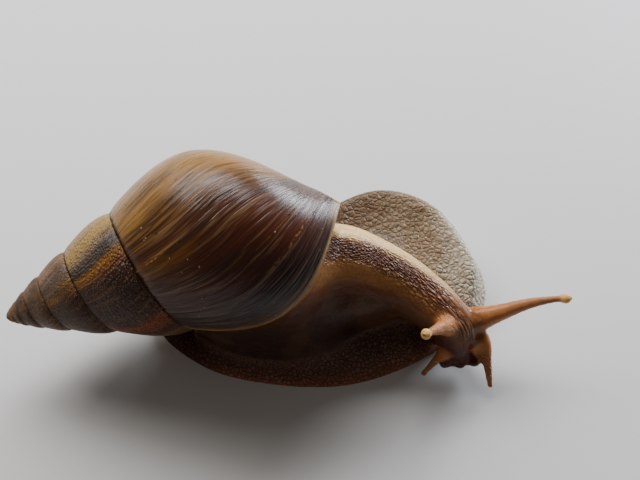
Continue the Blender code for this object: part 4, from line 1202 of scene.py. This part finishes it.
def eye_material(look):
    material, tree = new_material("eye_lens")
    grain = tree.noise(tree.position(), 1800.0, 2.0)
    colour = tree.blend(smooth_rise(tree.number("rim"), 0.25, 0.8), look.pupil, look.iris)
    colour = tree.blend(smooth_rise(grain, 0.5, 0.7) * 0.3, colour, look.iris)
    finish_material(tree, colour, 0.12 + grain * 0.08, ((grain, 0.00001),), Coat_Weight=0.8,
                    Coat_Roughness=0.04)
    return material



def build_eye(node, upper, radius):
    """Eye turned along its feeler: a dark lens that bulges out of an amber ring."""
    path = tentacle_path(upper)[:, :3]
    way = Vector(path[-1] - path[-4]).normalized()
    rings, rim = [], []
    for k in range(EYE_RINGS + 1):
        angle = math.pi * k / EYE_RINGS
        lens = 1.0 + EYE_BULGE * math.exp(-(angle / 0.6) ** 2)
        ring_radius = max(math.sin(angle), 0.02) * radius * lens
        depth = math.cos(angle) * radius * lens * LENS_FLATNESS
        rings.append([Vector((ring_radius * math.cos(a), ring_radius * math.sin(a), depth))
                      for a in np.linspace(0, 2 * math.pi, EYE_SIDES, endpoint=False)])
        rim += [min(angle / 1.3, 1.0)] * EYE_SIDES
    turn = way.to_track_quat("Z", "Y").to_matrix()
    centre = Vector(eye_place(upper)) + Vector(MIDDLE)
    item = loft(node + "_lens", [[centre + turn @ p for p in ring] for ring in rings])
    store(item.data, "rim", rim)
    return item


# ---------------------------------------------------------------- settings

def colour_property(name, description, default):
    return FloatVectorProperty(name=name, description=description, subtype="COLOR", size=3,
                               default=default, min=0.0, max=1.0)


def length_property(name, description, default):
    return FloatProperty(name=name, description=description, default=default, unit="LENGTH",
                         precision=5)


def number_property(name, description, default, unit="NONE"):
    return FloatProperty(name=name, description=description, default=default, min=0.0, unit=unit)


class SnailShellSettings(bpy.types.PropertyGroup):
    """Sizes and colours of the shell."""
    rows: IntProperty(name="Rows", description="Growth lines along the whole coil",
                      default=SHELL_ROWS, min=50)
    columns: IntProperty(name="Columns", description="Points across the wall",
                         default=SHELL_COLUMNS, min=12)
    ridge: length_property("Ridge height", "How far growth ridges stand proud", RIDGE_HEIGHT)
    spire_pale: colour_property("Spire, pale", "Worn skin of the early whorls", (0.21, 0.105, 0.046))
    spire_dark: colour_property("Spire, dark", "Grain of the early whorls", (0.045, 0.018, 0.009))
    tip: colour_property("Tip", "The smooth first whorls", (0.44, 0.21, 0.09))
    streak_dark: colour_property("Dark streak", "Dark growth streaks", (0.030, 0.016, 0.013))
    streak_pale: colour_property("Pale streak", "Pale growth streaks", (0.48, 0.32, 0.17))
    patch: colour_property("Patch", "Orange patch beside the suture", (0.20, 0.085, 0.028))
    worn: colour_property("Worn grain", "Rubbed tops of the grains", (0.42, 0.30, 0.20))
    scar: colour_property("Scar", "Mended breaks of the lip", (0.40, 0.22, 0.08))
    callus: colour_property("Callus", "Pale glaze on the columella", (0.33, 0.28, 0.24))
    lip: colour_property("Lip", "Thin rim of the mouth", (0.42, 0.27, 0.13))
    # Colour of the painted shade along the suture.
    seam: colour_property("Suture", "Line between the whorls", (0.030, 0.014, 0.009))
    fleck: colour_property("Flecks", "Crumbs and chips", (0.52, 0.38, 0.25))
    richness: number_property("Richness", "How full the colours are", 1.1)


class SnailSkinSettings(bpy.types.PropertyGroup):
    """Sizes and colours of the skin."""
    voxel: length_property("Fineness", "Size of the skin's facets before the neck's are halved",
                           SKIN_VOXEL)
    # Paler tops of the granules are partly a painted highlight.
    granule: colour_property("Granules", "Tops of the neck's granules", (0.34, 0.165, 0.10))
    granule_height: length_property("Granule height", "Height of the skin's granules", GRANULE_HEIGHT)
    furrow_depth: length_property("Furrow depth", "Depth of the long furrows in the neck", FURROW_DEPTH)
    # The dark net drawn in this colour is partly painted shade in the grooves.
    dark: colour_property("Furrows", "Dark net between the granules", (0.05, 0.028, 0.02))
    warm: colour_property("Clouds", "Warm clouds in the skin", (0.20, 0.09, 0.045))
    cream: colour_property("Cream stripe", "Stripe on the far side of the neck", (0.60, 0.42, 0.22))
    neck_front: colour_property("Neck, front", "Neck close to the head", (0.26, 0.115, 0.055))
    # The snout's colour is partly painted shade.
    shaded_snout: colour_property("Snout", "Face below the feelers", (0.068, 0.008, 0.002))
    # Partly a painted wet sheen.
    far_front_and_sheen: colour_property("Foot, front", "Pale front of the far flank", (0.72, 0.65, 0.50))
    # Dark brown of the far flank, also used as painted shade beside the shell.
    far_back_and_shade: colour_property("Foot, far side", "Far flank beside the shell", (0.135, 0.078, 0.042))
    # Partly painted shade under the shell.
    tail: colour_property("Tail", "End of the foot under the shell", (0.10, 0.040, 0.024))
    feeler_root: colour_property("Feeler, root", "Feelers where they leave the head",
                                 (0.44, 0.175, 0.062))
    feeler_tip: colour_property("Feeler, tip", "Feelers toward their ends", (0.38, 0.165, 0.072))
    feeler_dark: colour_property("Feeler, dark", "Mottling of the feelers", (0.24, 0.095, 0.04))
    knob: colour_property("Knob", "Bulb that holds an eye", (0.72, 0.41, 0.13))
    mantle: colour_property("Mantle", "Collar inside the shell's lip", (0.26, 0.16, 0.085))
    richness: number_property("Richness", "How full the colours are", 1.02)


class SnailEyeSettings(bpy.types.PropertyGroup):
    """Sizes and colours of the eyes."""
    radius: length_property("Radius", "Radius of an eye", EYE_RADIUS)
    pupil: colour_property("Pupil", "Middle of the eye", (0.085, 0.050, 0.014))
    iris: colour_property("Ring", "Ring round the pupil", (0.50, 0.26, 0.055))


class SnailStageSettings(bpy.types.PropertyGroup):
    """The studio."""
    floor: colour_property("Floor", "Colour of the floor", (0.70, 0.69, 0.68))
    key: number_property("Window", "Power of the large light behind", 7.5, "POWER")
    fill: number_property("Fill", "Power of the light in front", 0.06, "POWER")
    sky: number_property("Sky", "Strength of the light from all round", 0.12)


# ---------------------------------------------------------------- operators

def settle(item, nodes):
    """Hands a finished piece over, and stops the script if it isn't a closed body."""
    sides = {}
    for polygon in item.data.polygons:
        polygon.use_smooth = True
        for key in polygon.edge_keys:
            sides[key] = sides.get(key, 0) + 1
    if not sides or any(count != 2 for count in sides.values()):
        raise RuntimeError(item.name + " isn't closed")
    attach(item, BODY)
    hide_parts(*nodes)


class SNAIL_OT_shell(bpy.types.Operator):
    """Wind the shell from its growth law"""
    bl_idname = "snail.shell"
    bl_label = "Shell"

    def execute(self, context):
        look = context.scene.snail_shell
        item = link("shell", bpy.data.meshes.new("shell"))
        item.data.from_pydata([(0, 0, 0)], [], [])
        material = shell_material(look)
        run_tree(item, shell_tree(), {"Rows": look.rows, "Columns": look.columns,
                                      "Ridge Height": look.ridge, "Lip Wall": LIP_WALL,
                                      "Material": material})
        with Reshape(item.data) as work:
            bmesh.ops.remove_doubles(work, verts=work.verts, dist=SHELL_WELD)
            bmesh.ops.recalc_face_normals(work, faces=work.faces)
        settle(item, SHELL_NODES)
        return {"FINISHED"}


class SNAIL_OT_skin(bpy.types.Operator):
    """Model the foot, neck, head and feelers in one skin"""
    bl_idname = "snail.skin"
    bl_label = "Skin"

    def execute(self, context):
        look = context.scene.snail_skin
        item = flesh_form(look.voxel)
        item.name = "skin"
        flat_sole(item)
        map_skin(item.data)
        run_tree(item, relief_tree(), {
            "Granule Height": look.granule_height, "Furrow Depth": look.furrow_depth,
            "Material": skin_material(look)})
        settle(item, FLESH_NODES)
        return {"FINISHED"}


class SNAIL_OT_eyes(bpy.types.Operator):
    """Set a dark eye in the end of each upper feeler"""
    bl_idname = "snail.eyes"
    bl_label = "Eyes"

    def execute(self, context):
        look = context.scene.snail_eyes
        material = eye_material(look)
        for node, upper in zip(("eye_left", "eye_right"), UPPERS):
            item = build_eye(node, upper, look.radius)
            item.data.materials.append(material)
            settle(item, [node])
        return {"FINISHED"}


class SNAIL_OT_stage(bpy.types.Operator):
    """Set up the floor, the lights and the camera"""
    bl_idname = "snail.stage"
    bl_label = "Studio"

    def execute(self, context):
        look = context.scene.snail_stage
        corners = [(-FLOOR_REACH, -FLOOR_REACH), (FLOOR_REACH, -FLOOR_REACH),
                   (FLOOR_REACH, FLOOR_REACH), (-FLOOR_REACH, FLOOR_REACH)]
        floor = loft("floor", [[(x, y, z) for x, y in corners] for z in (FLOOR_DEPTH, FLOOR_DROP)])
        material, tree = new_material("studio_floor")
        grain = tree.noise(tree.position(), 90.0, 3.0)
        colour = tree.blend(grain * 0.06, look.floor, FLOOR_GRAIN)
        finish_material(tree, colour, 0.6, ((grain, 0.00003),))
        floor.data.materials.append(material)
        for name, place, size, setting, share, colour in LIGHTS:
            light = bpy.data.lights.new(name, "AREA")
            light.shape, light.size, light.size_y = "RECTANGLE", size[0], size[1]
            light.energy, light.color = getattr(look, setting) * share, colour
            lamp = link(name, light)
            lamp.location = place
            way = Vector(LIGHT_AIM) - lamp.location
            lamp.rotation_euler = way.to_track_quat("-Z", "Y").to_euler()
        world = bpy.data.worlds.new("studio")
        world.use_nodes = True
        sky = world.node_tree.nodes["Background"].inputs
        sky["Color"].default_value, sky["Strength"].default_value = WORLD_TINT, look.sky
        context.scene.world = world
        lens = bpy.data.cameras.new("camera")
        lens.sensor_width, lens.clip_start = SENSOR_WIDTH, CLIP_START
        lens.lens = lens.sensor_width / 2 / math.tan(math.radians(VIEW_ANGLE / 2))
        camera = link("camera", lens)
        camera.location = [CAMERA_PLACE[k] + MIDDLE[k] for k in range(3)]
        camera.rotation_euler = (math.pi / 2 - math.radians(CAMERA_SLOPE), 0.0, 0.0)
        context.scene.camera = camera
        return {"FINISHED"}


class SNAIL_PT_panel(bpy.types.Panel):
    """Lists the snail's pieces and their settings"""
    bl_label = "Giant African Land Snail"
    bl_idname = "SNAIL_PT_panel"
    bl_space_type = "VIEW_3D"
    bl_region_type = "UI"
    bl_category = "Snail"

    def draw(self, context):
        for name, operator in STEPS:
            box = self.layout.box()
            box.operator(operator)
            group = getattr(context.scene, "snail_" + name)
            for setting in group.bl_rna.properties:
                if setting.identifier not in {"rna_type", "name"}:
                    box.prop(group, setting.identifier)


STEPS = (("shell", "snail.shell"), ("skin", "snail.skin"), ("eyes", "snail.eyes"),
         ("stage", "snail.stage"))
GROUPS = {"snail_shell": SnailShellSettings, "snail_skin": SnailSkinSettings,
          "snail_eyes": SnailEyeSettings, "snail_stage": SnailStageSettings}
CLASSES = (*GROUPS.values(), SNAIL_OT_shell, SNAIL_OT_skin, SNAIL_OT_eyes, SNAIL_OT_stage,
           SNAIL_PT_panel)


def register():
    for item in CLASSES:
        bpy.utils.register_class(item)
    for name, group in GROUPS.items():
        setattr(bpy.types.Scene, name, bpy.props.PointerProperty(type=group))


def unregister():
    for name in GROUPS:
        delattr(bpy.types.Scene, name)
    for item in reversed(CLASSES):
        bpy.utils.unregister_class(item)


def main():
    register()
    bpy.ops.snail.shell()
    bpy.ops.snail.skin()
    bpy.ops.snail.eyes()
    bpy.ops.snail.stage()


if __name__ == "__main__":
    main()
